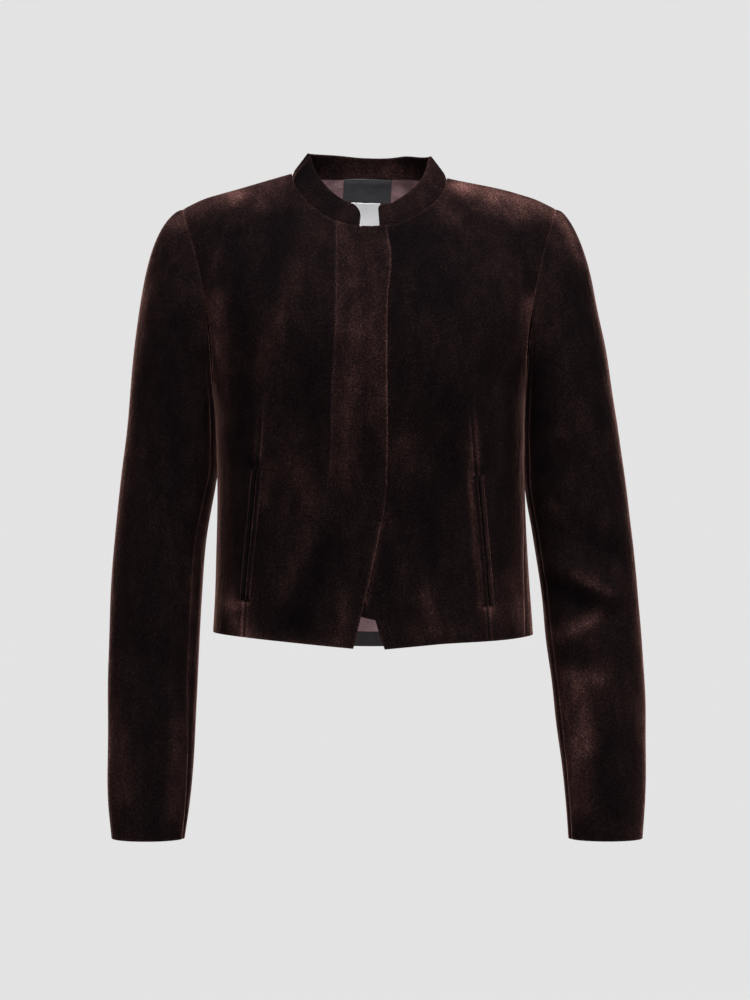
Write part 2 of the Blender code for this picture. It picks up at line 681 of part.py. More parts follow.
def label_grids(lining, normals, label):
    """A label on the lining's inner face at the centre back."""
    middle = lining.shape[1] // 2
    top = len(lining) - 1
    upper = np.arange(len(LOWER_ROWS) - 1, top + 1)
    height = np.linspace(label.bottom_z, label.top_z, label.rows + 1)
    rows = np.interp(height, lining[upper, middle, 2], upper)
    places = np.linspace(label.left_x, label.right_x, label.columns + 1)
    columns = np.array([np.interp(places, read_grid(lining, np.full(lining.shape[1], row),
                                                    np.arange(lining.shape[1]))[:, 0],
                                  np.arange(lining.shape[1])) for row in rows])
    rows = np.repeat(rows[:, None], label.columns + 1, axis=1)
    seat = read_grid(lining, rows, columns)
    facing = read_grid(normals, rows, columns)
    return seat - facing * SEAM_GAP, seat - facing * (SEAM_GAP + LABEL_WALL)


def cloth(name, outer, inner, material):
    """A closed wall of cloth between two grids of the same size."""
    mesh = bpy.data.meshes.new(name)
    work = bmesh.new()
    rows, columns = outer.shape[:2]
    face_out = [[work.verts.new(point * MM) for point in row] for row in outer]
    face_in = [[work.verts.new(point * MM) for point in row] for row in inner]
    for r in range(rows - 1):
        for c in range(columns - 1):
            work.faces.new((face_out[r][c], face_out[r][c + 1], face_out[r + 1][c + 1], face_out[r + 1][c]))
            work.faces.new((face_in[r][c], face_in[r + 1][c], face_in[r + 1][c + 1], face_in[r][c + 1]))
    edges = [((r, c), (r, c + 1)) for r in (0, rows - 1) for c in range(columns - 1)]
    edges += [((r, c), (r + 1, c)) for c in (0, columns - 1) for r in range(rows - 1)]
    for (r, c), (next_r, next_c) in edges:
        work.faces.new((face_out[r][c], face_in[r][c], face_in[next_r][next_c], face_out[next_r][next_c]))
    bmesh.ops.triangulate(work, faces=work.faces[:], quad_method="FIXED")
    bmesh.ops.recalc_face_normals(work, faces=work.faces[:])
    for face in work.faces:
        face.smooth = True
    work.to_mesh(mesh)
    work.free()
    mesh.materials.append(material)
    item = bpy.data.objects.new(name, mesh)
    bpy.context.scene.collection.objects.link(item)
    return item


def build():
    """Make every piece of the jacket."""
    clear_scene()
    finish = {name: make_finish(name) for name in FINISHES}
    velvet = finish["velvet"]
    fronts = {}
    for side in (RIGHT, LEFT):
        outer, smooth, normals = front_panel(side)
        fronts[side] = (outer, normals)
        cloth("front_" + edge_column(side), outer, smooth - normals * VELVET_WALL, velvet)
    back, back_normals = back_panel()
    cloth("back", back, back - back_normals * VELVET_WALL, velvet)
    cloth("fly_placket", *fly_grids(*fronts[RIGHT]), velvet)
    for side in (RIGHT, LEFT):
        name = edge_column(side)
        ring = armhole_ring(fronts[side][0], back, side)
        for piece, grids in zip(("top", "under"), sleeve_pieces(ring, side)):
            cloth(f"sleeve_{name}_{piece}", *grids, velvet)
        for place, toward in (("front", -1), ("side", 1)):
            grids = jet_grids(*fronts[side], side, toward)
            cloth(f"pocket_{name}_{place}_welt", *grids, velvet)
    cloth("collar", *collar_grids(collar_base(fronts[RIGHT][0], back, fronts[LEFT][0])), velvet)
    lined = back - back_normals * (VELVET_WALL + SEAM_GAP)
    inside = slice(1, back.shape[1] - 1)
    lining_in = lined - back_normals * LINING_WALL
    start = lined[1:, inside].copy()
    start_in = lining_in[1:, inside].copy()
    start[0, :, 2] += SEAM_GAP
    start_in[0, :, 2] += SEAM_GAP
    cloth("back_lining", start, start_in, finish["lining_satin"])
    facing_in = lined - back_normals * FACING_WALL
    cloth("back_hem_facing", lined[:2, inside], facing_in[:2, inside], finish["hem_cloth"])
    for name, label, material in (("neck_label", NECK_LABEL, "label_black"),
                                  ("care_label", CARE_LABEL, "label_white")):
        cloth(name, *label_grids(lining_in, back_normals, label), finish[material])


build()
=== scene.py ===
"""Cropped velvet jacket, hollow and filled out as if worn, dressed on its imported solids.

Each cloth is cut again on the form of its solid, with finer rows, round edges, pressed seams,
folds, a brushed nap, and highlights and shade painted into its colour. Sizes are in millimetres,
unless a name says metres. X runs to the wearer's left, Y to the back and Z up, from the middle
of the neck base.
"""

import logging
import math
from dataclasses import dataclass, field, replace
from enum import Enum
from typing import Any, Callable, NamedTuple, Sequence

import bpy
import numpy as np
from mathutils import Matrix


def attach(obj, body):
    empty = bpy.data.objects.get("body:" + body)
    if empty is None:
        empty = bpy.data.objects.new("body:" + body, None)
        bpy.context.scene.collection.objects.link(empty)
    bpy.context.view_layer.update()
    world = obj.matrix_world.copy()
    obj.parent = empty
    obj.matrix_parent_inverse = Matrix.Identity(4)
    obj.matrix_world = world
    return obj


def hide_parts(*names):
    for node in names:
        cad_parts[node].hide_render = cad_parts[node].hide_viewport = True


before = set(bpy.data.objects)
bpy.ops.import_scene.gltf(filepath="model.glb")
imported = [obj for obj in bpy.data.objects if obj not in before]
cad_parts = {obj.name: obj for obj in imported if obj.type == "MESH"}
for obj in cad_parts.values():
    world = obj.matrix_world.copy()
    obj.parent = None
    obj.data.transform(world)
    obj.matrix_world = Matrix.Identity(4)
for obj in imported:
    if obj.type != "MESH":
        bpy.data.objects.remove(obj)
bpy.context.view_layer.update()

LOG = logging.getLogger("jacket")
MM = 0.001
BODY = "root"

# Cloth thicknesses, and the gap that stays where two pieces are sewn together
VELVET_WALL = 2.0
COLLAR_WALL = 3.0
PLACKET_WALL = 1.2
LINING_WALL = 1.0
FACING_WALL = 1.2
LABEL_WALL = 1.0
SEAM_GAP = 0.3
UNDERLAP_GAP = 0.45

# How far a cloth's edge runs on past its seam, into the edge that it is sewn to
SEAM_LAP = 0.7

# Width of the painted highlights and shade along an edge
EDGE_LIGHT_AND_SHADE_WIDTH = 1.5

# Shortest and longest waves of a swell, in shares of its usual length
SWELL_SPREAD = (0.7, 1.6)

# How many fine rows and columns stand for one of the solid's
COLUMN_SPLIT = 5
LOWER_SPLIT = 8
UPPER_SPLIT = 7
CAP_SPLIT = 6
TUBE_SPLIT = 8


class Side(Enum):
    """The wearer's right and left, each with the sign of its X."""

    RIGHT = -1.0
    LEFT = 1.0

    @property
    def word(self) -> str:
        """The side's name as it stands in the names of nodes and columns."""
        return self.name.lower()


class Facing(Enum):
    """The half of the jacket that a mark is on, with the sign of its Y; 0 goes over both."""

    FRONT = -1.0
    BACK = 1.0
    OVER = 0.0


class Edge(Enum):
    """One side of a grid of cloth."""

    FIRST_ROW = "first row"
    LAST_ROW = "last row"
    FIRST_COLUMN = "first column"
    LAST_COLUMN = "last column"


class Held(Enum):
    HUNG = "hung"
    LAID = "laid"
    STRETCHED = "stretched"


class Section(NamedTuple):
    """One level ring of the body's form."""

    z: float
    half_width: float
    front_depth: float
    back_depth: float
    shift: float


class FrontEdge(NamedTuple):
    """Front edges at a height, counted from the centre line to each front's own side."""

    z: float
    right: float
    left: float


class FlyLine(NamedTuple):
    """The fly's stitched side at a height."""

    z: float
    away: float


class DartLine(NamedTuple):
    """The dart that runs on through the pocket, on each front."""

    z: float
    right: float
    left: float


class ArmholeRow(NamedTuple):
    """The armhole seam: share of its drop, and how far out it lies in front and behind."""

    drop: float
    front: float
    back: float


class SleeveRow(NamedTuple):
    """One level ring of a sleeve, seen from the front."""

    z: float
    outer: float
    inner: float
    middle: float
    girth: float
    seam: float


class CollarRow(NamedTuple):
    """Lean and height of the collar at an angle around the neck."""

    around: float
    lean: float
    height: float


class CollarTilt(NamedTuple):
    """How much lower the collar's left side stands at an angle around the neck."""

    around: float
    drop: float


class Mark(NamedTuple):
    """A fold, or a stroke of the nap and of painted highlights and shade, as a line seen from the front or
    the back.

    A fold's amount is its height in millimetres, a stroke's is in stops of lightness.
    """

    facing: Facing
    start_x: float
    start_z: float
    end_x: float
    end_z: float
    half_width: float
    amount: float


def hermite(start: Any, start_pull: Any, end: Any, end_pull: Any, share: Any) -> Any:
    """Run a cubic from start to end that leaves and arrives along two pulls.

    Args:
        start: First value or point.
        start_pull: The way it leaves.
        end: Last value or point.
        end_pull: The way it arrives.
        share: How far along, from 0 to 1.

    Returns:
        The value or point there.
    """
    square = share * share
    cube = square * share
    leave = start * (2 * cube - 3 * square + 1) + start_pull * (cube - 2 * square + share)
    return leave + end * (3 * square - 2 * cube) + end_pull * (cube - square)


def through(table: Sequence[NamedTuple], column: str, at: Any) -> Any:
    """Read a smooth curve through one column of a table, by the table's first column.

    Args:
        table: Rows in rising order.
        column: Name of the column that is read.
        at: Where to read, a number or an array.

    Returns:
        The curve's value or values there.
    """
    keys = np.array([row[0] for row in table], dtype=float)
    values = np.array([getattr(row, column) for row in table], dtype=float)
    slopes = np.gradient(values, keys)
    at = np.clip(at, keys[0], keys[-1])
    index = np.clip(np.searchsorted(keys, at, side="right") - 1, 0, len(keys) - 2)
    span = keys[index + 1] - keys[index]
    share = (at - keys[index]) / span
    return hermite(values[index], slopes[index] * span,
                   values[index + 1], slopes[index + 1] * span, share)


def smoothstep(low: float, high: float, value: Any) -> Any:
    """Ease from 0 below one value to 1 above another."""
    share = np.clip((value - low) / (high - low), 0.0, 1.0)
    return share * share * (3.0 - 2.0 * share)


def unit(ways: np.ndarray) -> np.ndarray:
    """Bring every direction along an array's last axis to length one."""
    return ways / np.linalg.norm(ways, axis=-1, keepdims=True)


def finer(count: int, split: int) -> np.ndarray:
    """Number fine columns in units of the solid's columns."""
    return np.arange(count * split + 1) / split


def bell(away: Any, width: float) -> Any:
    """Fall softly from 1 at a place to nothing past a width around it."""
    return np.exp(-(away / width) ** 2)


def run_along(line: np.ndarray) -> np.ndarray:
    """Measure the length of a line from its start to each of its points."""
    return np.concatenate([[0.0], np.cumsum(np.linalg.norm(np.diff(line, axis=0), axis=1))])


def points_along(places: np.ndarray, run: np.ndarray, line: np.ndarray) -> np.ndarray:
    """Read points, or directions, at lengths along a line."""
    return np.stack([np.interp(places, run, line[:, axis]) for axis in range(3)], axis=-1)


def read_grid(grid: np.ndarray, row: np.ndarray, column: np.ndarray) -> np.ndarray:
    """Read a grid between its points.

    Args:
        grid: Values by row and column.
        row: Fractional rows.
        column: Fractional columns, of the same shape.

    Returns:
        The values there.
    """
    row_low = np.clip(np.floor(row).astype(int), 0, grid.shape[0] - 2)
    column_low = np.clip(np.floor(column).astype(int), 0, grid.shape[1] - 2)
    down = (row - row_low)[..., None]
    over = (column - column_low)[..., None]
    near = grid[row_low, column_low] * (1 - over) + grid[row_low, column_low + 1] * over
    far = grid[row_low + 1, column_low] * (1 - over) + grid[row_low + 1, column_low + 1] * over
    return near * (1 - down) + far * down


def near_line(places: np.ndarray, mark: Mark) -> np.ndarray:
    """Say how near places lie to a mark's line, as seen from the front.

    Args:
        places: Points of the cloth.
        mark: The fold or stroke.

    Returns:
        1 on the line, falling softly to 0 past its half width.
    """
    start = np.array([mark.start_x, mark.start_z])
    way = np.array([mark.end_x, mark.end_z]) - start
    flat = places[..., (0, 2)]
    share = np.clip(((flat - start) @ way) / (way @ way), 0.0, 1.0)
    away = np.linalg.norm(flat - start - share[..., None] * way, axis=-1)
    return bell(away, mark.half_width)


def swell(places: np.ndarray, length: float, seed: int, waves: int = 10) -> np.ndarray:
    """Make an uneven swell over cloth, mostly between -1 and 1.

    Args:
        places: Points of the cloth.
        length: The swell's usual wave length.
        seed: Start of the fixed run of numbers behind it.
        waves: How many waves are laid over each other.

    Returns:
        The swell at each point.
    """
    numbers = np.random.default_rng(seed)
    total = np.zeros(places.shape[:-1])
    for _ in range(waves):
        way = unit(numbers.normal(size=3)) * 2 * math.pi / (length * numbers.uniform(*SWELL_SPREAD))
        total += np.sin(places @ way + numbers.uniform(0.0, 2 * math.pi))
    return total / math.sqrt(waves)


@dataclass
class Cloth:
    """A grid of cloth: its outer face, the ways it faces, its thickness, and its nap with the highlights
    and shade painted into it.
    """

    points: np.ndarray
    normals: np.ndarray
    wall: np.ndarray
    nap: np.ndarray

    RIM_STEPS = np.array([0.0, 0.08, 0.3, 0.65, 1.05])
    RIM_CLEAR = 0.3

    @classmethod
    def of(cls, points: np.ndarray, normals: np.ndarray, wall: float) -> "Cloth":
        """Take up a grid with one thickness, an unbrushed nap and no painted light or shade."""
        level = np.zeros(points.shape[:2])
        return cls(points, normals, level + wall, level.copy())

    def read(self, rows: np.ndarray, columns: np.ndarray) -> "Cloth":
        """Take a part of the cloth, or more rows of it.

        Args:
            rows: Fractional rows.
            columns: Fractional columns, of the same shape.

        Returns:
            The cloth there.
        """
        stacked = np.concatenate(
            [self.points, self.normals, self.wall[..., None], self.nap[..., None]], axis=-1)
        found = read_grid(stacked, rows, columns)
        return Cloth(found[..., :3], unit(found[..., 3:6]), found[..., 6], found[..., 7])

    def cropped(self, rows: np.ndarray, columns: np.ndarray) -> "Cloth":
        """Take the cloth where some rows and columns cross."""
        return self.read(*np.meshgrid(rows, columns, indexing="ij"))

    def lifted(self, height: np.ndarray | float) -> "Cloth":
        """Move the cloth out along its own directions, by place."""
        height = np.broadcast_to(height, self.nap.shape)
        return replace(self, points=self.points + self.normals * height[..., None])

    def edge_distance(self, edge: Edge) -> np.ndarray:
        """Measure how far each place lies from one edge.

        Args:
            edge: The edge.

        Returns:
            Distances, by place.
        """
        ends = {
            Edge.FIRST_ROW: self.points[:1],
            Edge.LAST_ROW: self.points[-1:],
            Edge.FIRST_COLUMN: self.points[:, :1],
            Edge.LAST_COLUMN: self.points[:, -1:],
        }
        return np.linalg.norm(self.points - ends[edge], axis=-1)

    def pressed(self, edge: Edge, depth: float, width: float) -> "Cloth":
        """Press the cloth down into the seam along one edge, within a width of it."""
        return self.lifted(-depth * bell(self.edge_distance(edge), width))

    def extended(self, edge: Edge, reach: float) -> "Cloth":
        """Let one edge run on past its seam.

        Args:
            edge: The edge.
            reach: How far it runs on.

        Returns:
            The cloth with that edge moved.
        """
        points = self.points.copy()
        rows = points if edge in (Edge.FIRST_ROW, Edge.LAST_ROW) else points.swapaxes(0, 1)
        last, before = (0, 1) if edge in (Edge.FIRST_ROW, Edge.FIRST_COLUMN) else (-1, -2)
        rows[last] += unit(rows[last] - rows[before]) * reach
        return replace(self, points=points)

    def seamed(self, edges: Sequence[Edge], depth: float, width: float) -> "Cloth":
        """Press the cloth down along its seams, and let those edges run on past them.

        Args:
            edges: The seams' edges.
            depth: How far the cloth sinks at a seam.
            width: How far the pressing reaches.

        Returns:
            The seamed cloth.
        """
        cloth = self
        for edge in edges:
            cloth = cloth.pressed(edge, depth, width).extended(edge, SEAM_LAP)
        return cloth

    def facing(self, mark: Mark) -> np.ndarray:
        """Say how much each place belongs to the half that a mark is on.

        Args:
            mark: The fold or stroke.

        Returns:
            Shares from 0 to 1.
        """
        if mark.facing is Facing.OVER:
            return np.ones(self.normals.shape[:-1])
        return np.clip(mark.facing.value * self.normals[..., 1], 0.0, 1.0)

    def folded(self, folds: Sequence[Mark]) -> "Cloth":
        """Raise ridges and sink troughs along their lines.

        Args:
            folds: The folds.

        Returns:
            The folded cloth.
        """
        height = np.zeros(self.nap.shape)
        for fold in folds:
            height += fold.amount * near_line(self.points, fold) * self.facing(fold)
        return self.lifted(height)

    def brushed_and_lit(self, strokes: Sequence[Mark]) -> "Cloth":
        """Lay the nap, and painted highlights and shade, lighter or darker along strokes.

        Args:
            strokes: The strokes.

        Returns:
            The brushed cloth.
        """
        nap = self.nap.copy()
        for stroke in strokes:
            nap += stroke.amount * near_line(self.points, stroke) * np.sqrt(self.facing(stroke))
        return replace(self, nap=nap)

    def rim_places(self, count: int, near_first: float, near_last: float) -> np.ndarray:
        """Put rows close together at both ends, where the edge is rounded.

        Args:
            count: Rows or columns of the grid.
            near_first: Spacing at the first one.
            near_last: Spacing at the last one.

        Returns:
            Fractional rows or columns.
        """
        radius = float(self.wall.max()) / 2
        first = self.RIM_STEPS * radius / near_first
        last = count - 1 - self.RIM_STEPS[::-1] * radius / near_last
        start = math.ceil(first[-1] + self.RIM_CLEAR)
        stop = math.floor(last[0] - self.RIM_CLEAR)
        return np.concatenate([first, np.arange(start, stop + 1), last])

    def rimmed(self) -> "Cloth":
        """Add close rows and columns along all four edges."""
        down = np.linalg.norm(np.diff(self.points, axis=0), axis=-1).mean(axis=1)
        over = np.linalg.norm(np.diff(self.points, axis=1), axis=-1).mean(axis=0)
        rows = self.rim_places(self.points.shape[0], down[0], down[-1])
        columns = self.rim_places(self.points.shape[1], over[0], over[-1])
        return self.cropped(rows, columns)

    def faces(self) -> tuple[np.ndarray, np.ndarray]:
        """Round the edges off.

        Returns:
            The outer face and the inner face, which meet along the edges.
        """
        radius = self.wall / 2
        inside = np.minimum.reduce([self.edge_distance(edge) for edge in Edge])
        share = np.clip(inside / radius, 0.0, 1.0)
        half = radius * np.sqrt(1.0 - (1.0 - share) ** 2)
        middle = self.points - self.normals * radius[..., None]
        return middle + self.normals * half[..., None], middle - self.normals * half[..., None]


def link(name: str, data: bpy.types.ID) -> bpy.types.Object:
    """Make an object and link it into the scene.

    Args:
        name: The object's name.
        data: Its mesh, lamp or camera.

    Returns:
        The object.
    """
    made = bpy.data.objects.new(name, data)
    bpy.context.scene.collection.objects.link(made)
    return made


def sew(name: str, cloth: Cloth, outside: bpy.types.Material, inside: bpy.types.Material,
        edge_light_and_shade: dict[Edge, float]) -> bpy.types.Object:
    """Make a closed, round-edged mesh of a cloth.

    Args:
        name: The piece's name.
        cloth: The cloth, without close rows at its edges.
        outside: Finish of the outer face.
        inside: Finish of the inner face.
        edge_light_and_shade: Painted highlights along the edges, and painted shade where below zero, in
            stops.

    Returns:
        The piece, linked into the scene.
    """
    cloth = cloth.rimmed()
    # Painted highlights, and painted shade below zero, are laid along the edges
    lit = cloth.nap.copy()
    for edge, stops in edge_light_and_shade.items():
        lit += stops * bell(cloth.edge_distance(edge), EDGE_LIGHT_AND_SHADE_WIDTH)
    outer, inner = cloth.faces()
    rows, columns = outer.shape[:2]
    out_at = np.arange(rows * columns).reshape(rows, columns)
    in_at = out_at.copy()
    inner_count = (rows - 2) * (columns - 2)
    in_at[1:-1, 1:-1] = rows * columns + np.arange(inner_count).reshape(rows - 2, -1)
    quads = [np.stack([at[:-1, :-1], at[:-1, 1:], at[1:, 1:], at[1:, :-1]], axis=-1).reshape(-1, 4)
             for at in (out_at, in_at)]
    # The face whose corners run the wrong way round is turned over
    row, column = rows // 2, columns // 2
    middle = outer[row, column]
    turn = np.cross(outer[row, column + 1] - middle, outer[row + 1, column] - middle)
    wrong = 1 if turn @ cloth.normals[row, column] > 0 else 0
    quads[wrong] = quads[wrong][:, ::-1]
    corners = np.concatenate([outer.reshape(-1, 3), inner[1:-1, 1:-1].reshape(-1, 3)]) * MM
    nap = np.concatenate([lit.reshape(-1), lit[1:-1, 1:-1].reshape(-1)])
    faces = np.concatenate(quads)
    mesh = bpy.data.meshes.new(name)
    mesh.vertices.add(len(corners))
    mesh.vertices.foreach_set("co", corners.ravel())
    mesh.loops.add(faces.size)
    mesh.loops.foreach_set("vertex_index", faces.ravel())
    mesh.polygons.add(len(faces))
    mesh.polygons.foreach_set("loop_start", np.arange(len(faces)) * 4)
    mesh.polygons.foreach_set("material_index", np.repeat([0, 1], [len(q) for q in quads]))
    mesh.update(calc_edges=True)
    mesh.shade_smooth()
    # The attribute carries the nap with its painted highlights and shade
    brushed_and_lit = mesh.attributes.new("nap", "FLOAT", "POINT")
    brushed_and_lit.data.foreach_set("value", nap)
    mesh.materials.append(outside)
    mesh.materials.append(inside)
    return link(name, mesh)


def linear(colour: str) -> tuple[float, float, float, float]:
    """Turn an sRGB hex colour into the renderer's linear one.

    Args:
        colour: Hex digits after a hash sign.

    Returns:
        Red, green, blue and full alpha.
    """
    parts = [int(colour[at:at + 2], 16) / 255.0 for at in (1, 3, 5)]
    red, green, blue = (p / 12.92 if p <= 0.04045 else ((p + 0.055) / 1.055) ** 2.4 for p in parts)
    return red, green, blue, 1.0


# A wave texture repeats every 2 pi / 20 of its scaled length
WAVE_TURN = 2.0 * math.pi / 20.0


def per_metre(size: float) -> float:
    """Texture scale for a pattern whose repeat is given in millimetres."""
    return 1.0 / (size * MM)


def set_values(node: bpy.types.Node, values: dict[str | int, Any]) -> None:
    """Set a node's inputs by name or number, or else its properties by name.

    Args:
        node: The node.
        values: The values.
    """
    for name, value in values.items():
        if not isinstance(name, int) and hasattr(node, name):
            setattr(node, name, value)
        else:
            node.inputs[name].default_value = value


def add_node(tree: bpy.types.NodeTree, kind: str, settings: dict[str | int, Any] | None = None,
             links: dict[str | int, bpy.types.NodeSocket] | None = None) -> bpy.types.Node:
    """Add one node with its settings and links.

    Args:
        tree: The material's nodes.
        kind: The node's type.
        settings: Values by input name or number, or else by property name.
        links: Outputs of other nodes by input name or number.

    Returns:
        The node.
    """
    node = tree.nodes.new(kind)
    set_values(node, settings or {})
    for name, output in (links or {}).items():
        tree.links.new(output, node.inputs[name])
    return node


def new_material(name: str) -> tuple[bpy.types.Material, bpy.types.NodeTree, bpy.types.Node]:
    """Start a material with an empty surface.

    Args:
        name: The finish's name.

    Returns:
        The material, its nodes and its surface shader.
    """
    material = bpy.data.materials.new(name)
    material.use_nodes = True
    tree = material.node_tree
    return material, tree, tree.nodes["Principled BSDF"]


@dataclass(frozen=True)
class CottonVelvet:
    """Cotton velvet: cut pile on a woven ground, pressed and brushed by wear."""

    name: str = "cotton_velvet"
    deep: str = "#030304"
    bright: str = "#6b4a45"
    usual: float = 0.0195
    sheen_tint: str = "#b98a80"
    sheen: float = 0.42
    sheen_roughness: float = 0.2
    roughness: float = 0.95
    specular: float = 0.0
    cloud_size: float = 75.0
    cloud_stops: float = 1.6
    brush_size: float = 15.0
    brush_stops: float = 3.4
    tuft_size: float = 1.3
    tuft_stops: float = 9.0
    pile_depth: float = 0.6
    brush_depth: float = 3.0
    stretch: tuple[float, float, float] = (1.0, 1.0, 0.42)

    def make(self) -> bpy.types.Material:
        """Build the finish: dark where the pile stands, pale where it leans and shines, and lighter or
        darker where highlights and shade are painted in.
        """
        material, tree, shader = new_material(self.name)
        place = add_node(tree, "ShaderNodeTexCoord").outputs["Object"]
        # The pile is brushed down the cloth, so its patches are longer than they are wide
        hang = add_node(tree, "ShaderNodeMapping", {"Scale": self.stretch}, {"Vector": place}).outputs[0]
        cloud = add_node(tree, "ShaderNodeTexNoise", {
            "Scale": per_metre(self.cloud_size), "Detail": 3.0, "Roughness": 0.55}, {"Vector": hang})
        brush = add_node(tree, "ShaderNodeTexNoise", {
            "Scale": per_metre(self.brush_size), "Detail": 4.0, "Roughness": 0.6,
            "Distortion": 0.4}, {"Vector": hang})
        # Single tufts are near 0.3 mm; they are drawn as clumps about four times as wide, to show
        tuft = add_node(tree, "ShaderNodeTexNoise", {
            "Scale": per_metre(self.tuft_size), "Detail": 2.0, "Roughness": 0.7}, {"Vector": place})
        # The attribute holds the brushed nap and the painted highlights and shade, in stops
        stops = add_node(tree, "ShaderNodeAttribute", {"attribute_name": "nap"}).outputs["Fac"]
        strengths = (self.cloud_stops, self.brush_stops, self.tuft_stops)
        for noise, strength in zip((cloud, brush, tuft), strengths):
            centred = add_node(tree, "ShaderNodeMath", {"operation": "SUBTRACT", 1: 0.5},
                               {0: noise.outputs["Fac"]}).outputs[0]
            stops = add_node(tree, "ShaderNodeMath", {"operation": "MULTIPLY_ADD", 1: strength},
                             {0: centred, 2: stops}).outputs[0]
        gain = add_node(tree, "ShaderNodeMath", {"operation": "POWER", 0: 2.0}, {1: stops}).outputs[0]
        pale = add_node(tree, "ShaderNodeMath", {
            "operation": "MULTIPLY", "use_clamp": True, 1: self.usual}, {0: gain}).outputs[0]
        colour = add_node(tree, "ShaderNodeMix", {
            "data_type": "RGBA", 6: linear(self.deep), 7: linear(self.bright)}, {0: pale}).outputs[2]
        soft = add_node(tree, "ShaderNodeBump", {"Strength": 0.4, "Distance": self.brush_depth * MM},
                        {"Height": brush.outputs["Fac"]}).outputs[0]
        fine = add_node(tree, "ShaderNodeBump", {"Strength": 0.6, "Distance": self.pile_depth * MM},
                        {"Height": tuft.outputs["Fac"], "Normal": soft}).outputs[0]
        tree.links.new(colour, shader.inputs["Base Color"])
        tree.links.new(fine, shader.inputs["Normal"])
        set_values(shader, {
            "Roughness": self.roughness, "Specular IOR Level": self.specular, "Sheen Weight": self.sheen,
            "Sheen Roughness": self.sheen_roughness, "Sheen Tint": linear(self.sheen_tint)})
        return material


@dataclass(frozen=True)
class WovenCloth:
    """A plain woven cloth: threads over and under, dyed in the piece."""

    name: str
    colour: str
    light: str
    thread: float
    roughness: float
    specular: float = 0.2
    sheen: float = 0.0
    relief: float = 0.12
    patch_size: float = 30.0
    fold_depth: float = 0.0
    weave_share: float = 0.15
    uneven: float = 0.06
    stretch: tuple[float, float, float] = (1.0, 1.0, 0.35)

    def make(self) -> bpy.types.Material:
        """Build the finish: a fine mesh of threads, a little uneven in its dye."""
        material, tree, shader = new_material(self.name)
        place = add_node(tree, "ShaderNodeTexCoord").outputs["Object"]
        # Threads of 0.15 to 0.3 mm are drawn at the stated, coarser pitch, so that they show
        warp, weft = [add_node(tree, "ShaderNodeTexWave", {
            "wave_type": "BANDS", "bands_direction": way, "Scale": per_metre(self.thread) * WAVE_TURN,
            "Distortion": 0.6, "Detail": 1.0}, {"Vector": place}).outputs["Fac"] for way in "XZ"]
        weave = add_node(tree, "ShaderNodeMath", {"operation": "MULTIPLY"}, {0: warp, 1: weft}).outputs[0]
        drawn = add_node(tree, "ShaderNodeMapping", {"Scale": self.stretch}, {"Vector": place}).outputs[0]
        patch = add_node(tree, "ShaderNodeTexNoise", {
            "Scale": per_metre(self.patch_size), "Detail": 2.0, "Roughness": 0.4}, {"Vector": drawn})
        tone = add_node(tree, "ShaderNodeMath", {"operation": "MULTIPLY_ADD", 1: self.weave_share},
                        {0: weave, 2: patch.outputs["Fac"]}).outputs[0]
        share = add_node(tree, "ShaderNodeMapRange", {
            "From Min": 0.3, "From Max": 0.8}, {"Value": tone}).outputs[0]
        colour = add_node(tree, "ShaderNodeMix", {
            "data_type": "RGBA", 6: linear(self.colour), 7: linear(self.light)}, {0: share}).outputs[2]
        rough = add_node(tree, "ShaderNodeMapRange", {
            "To Min": self.roughness - self.uneven, "To Max": self.roughness + self.uneven},
            {"Value": patch.outputs["Fac"]}).outputs[0]
        hang = add_node(tree, "ShaderNodeBump", {"Strength": 1.0, "Distance": self.fold_depth * MM},
                        {"Height": patch.outputs["Fac"]}).outputs[0]
        bump = add_node(tree, "ShaderNodeBump", {"Strength": 0.6, "Distance": self.relief * MM},
                        {"Height": weave, "Normal": hang}).outputs[0]
        tree.links.new(colour, shader.inputs["Base Color"])
        tree.links.new(rough, shader.inputs["Roughness"])
        tree.links.new(bump, shader.inputs["Normal"])
        set_values(shader, {"Specular IOR Level": self.specular, "Sheen Weight": self.sheen,
                            "Sheen Tint": linear(self.light)})
        return material


# Ground weave of the velvet, without pile: matt and dark
VELVET_GROUND = WovenCloth(
    "velvet_ground", "#150d0e", "#1e1415", thread=0.9, roughness=0.9, specular=0.05)
# Viscose satin: long floats of smooth thread, so it is mauve with a soft gloss
VISCOSE_SATIN = WovenCloth(
    "viscose_satin", "#7c5e62", "#b08b92", thread=0.8, roughness=0.42, specular=0.35, sheen=0.1,
    relief=0.05, patch_size=16.0, fold_depth=3.5)
# Cotton twill dyed charcoal, turned up at the hem: matt and even
HEM_TWILL = WovenCloth("hem_twill", "#332f30", "#464243", thread=1.2, roughness=0.85)
# Polyester damask: tight, flat and charcoal
DAMASK_LABEL = WovenCloth(
    "damask_label", "#3d3d40", "#505053", thread=0.7, roughness=0.6, specular=0.25,
    relief=0.06, patch_size=15.0)
# Polyester satin ribbon: white and smooth
SATIN_LABEL = WovenCloth(
    "satin_label", "#f6f5f9", "#fdfcff", thread=0.7, roughness=0.5, specular=0.3,
    relief=0.05, patch_size=15.0)
# Spun polyester sewing thread, dyed to match the pile
SEWING_THREAD = WovenCloth(
    "sewing_thread", "#0e0808", "#1a1010", thread=0.4, roughness=0.7, specular=0.1)


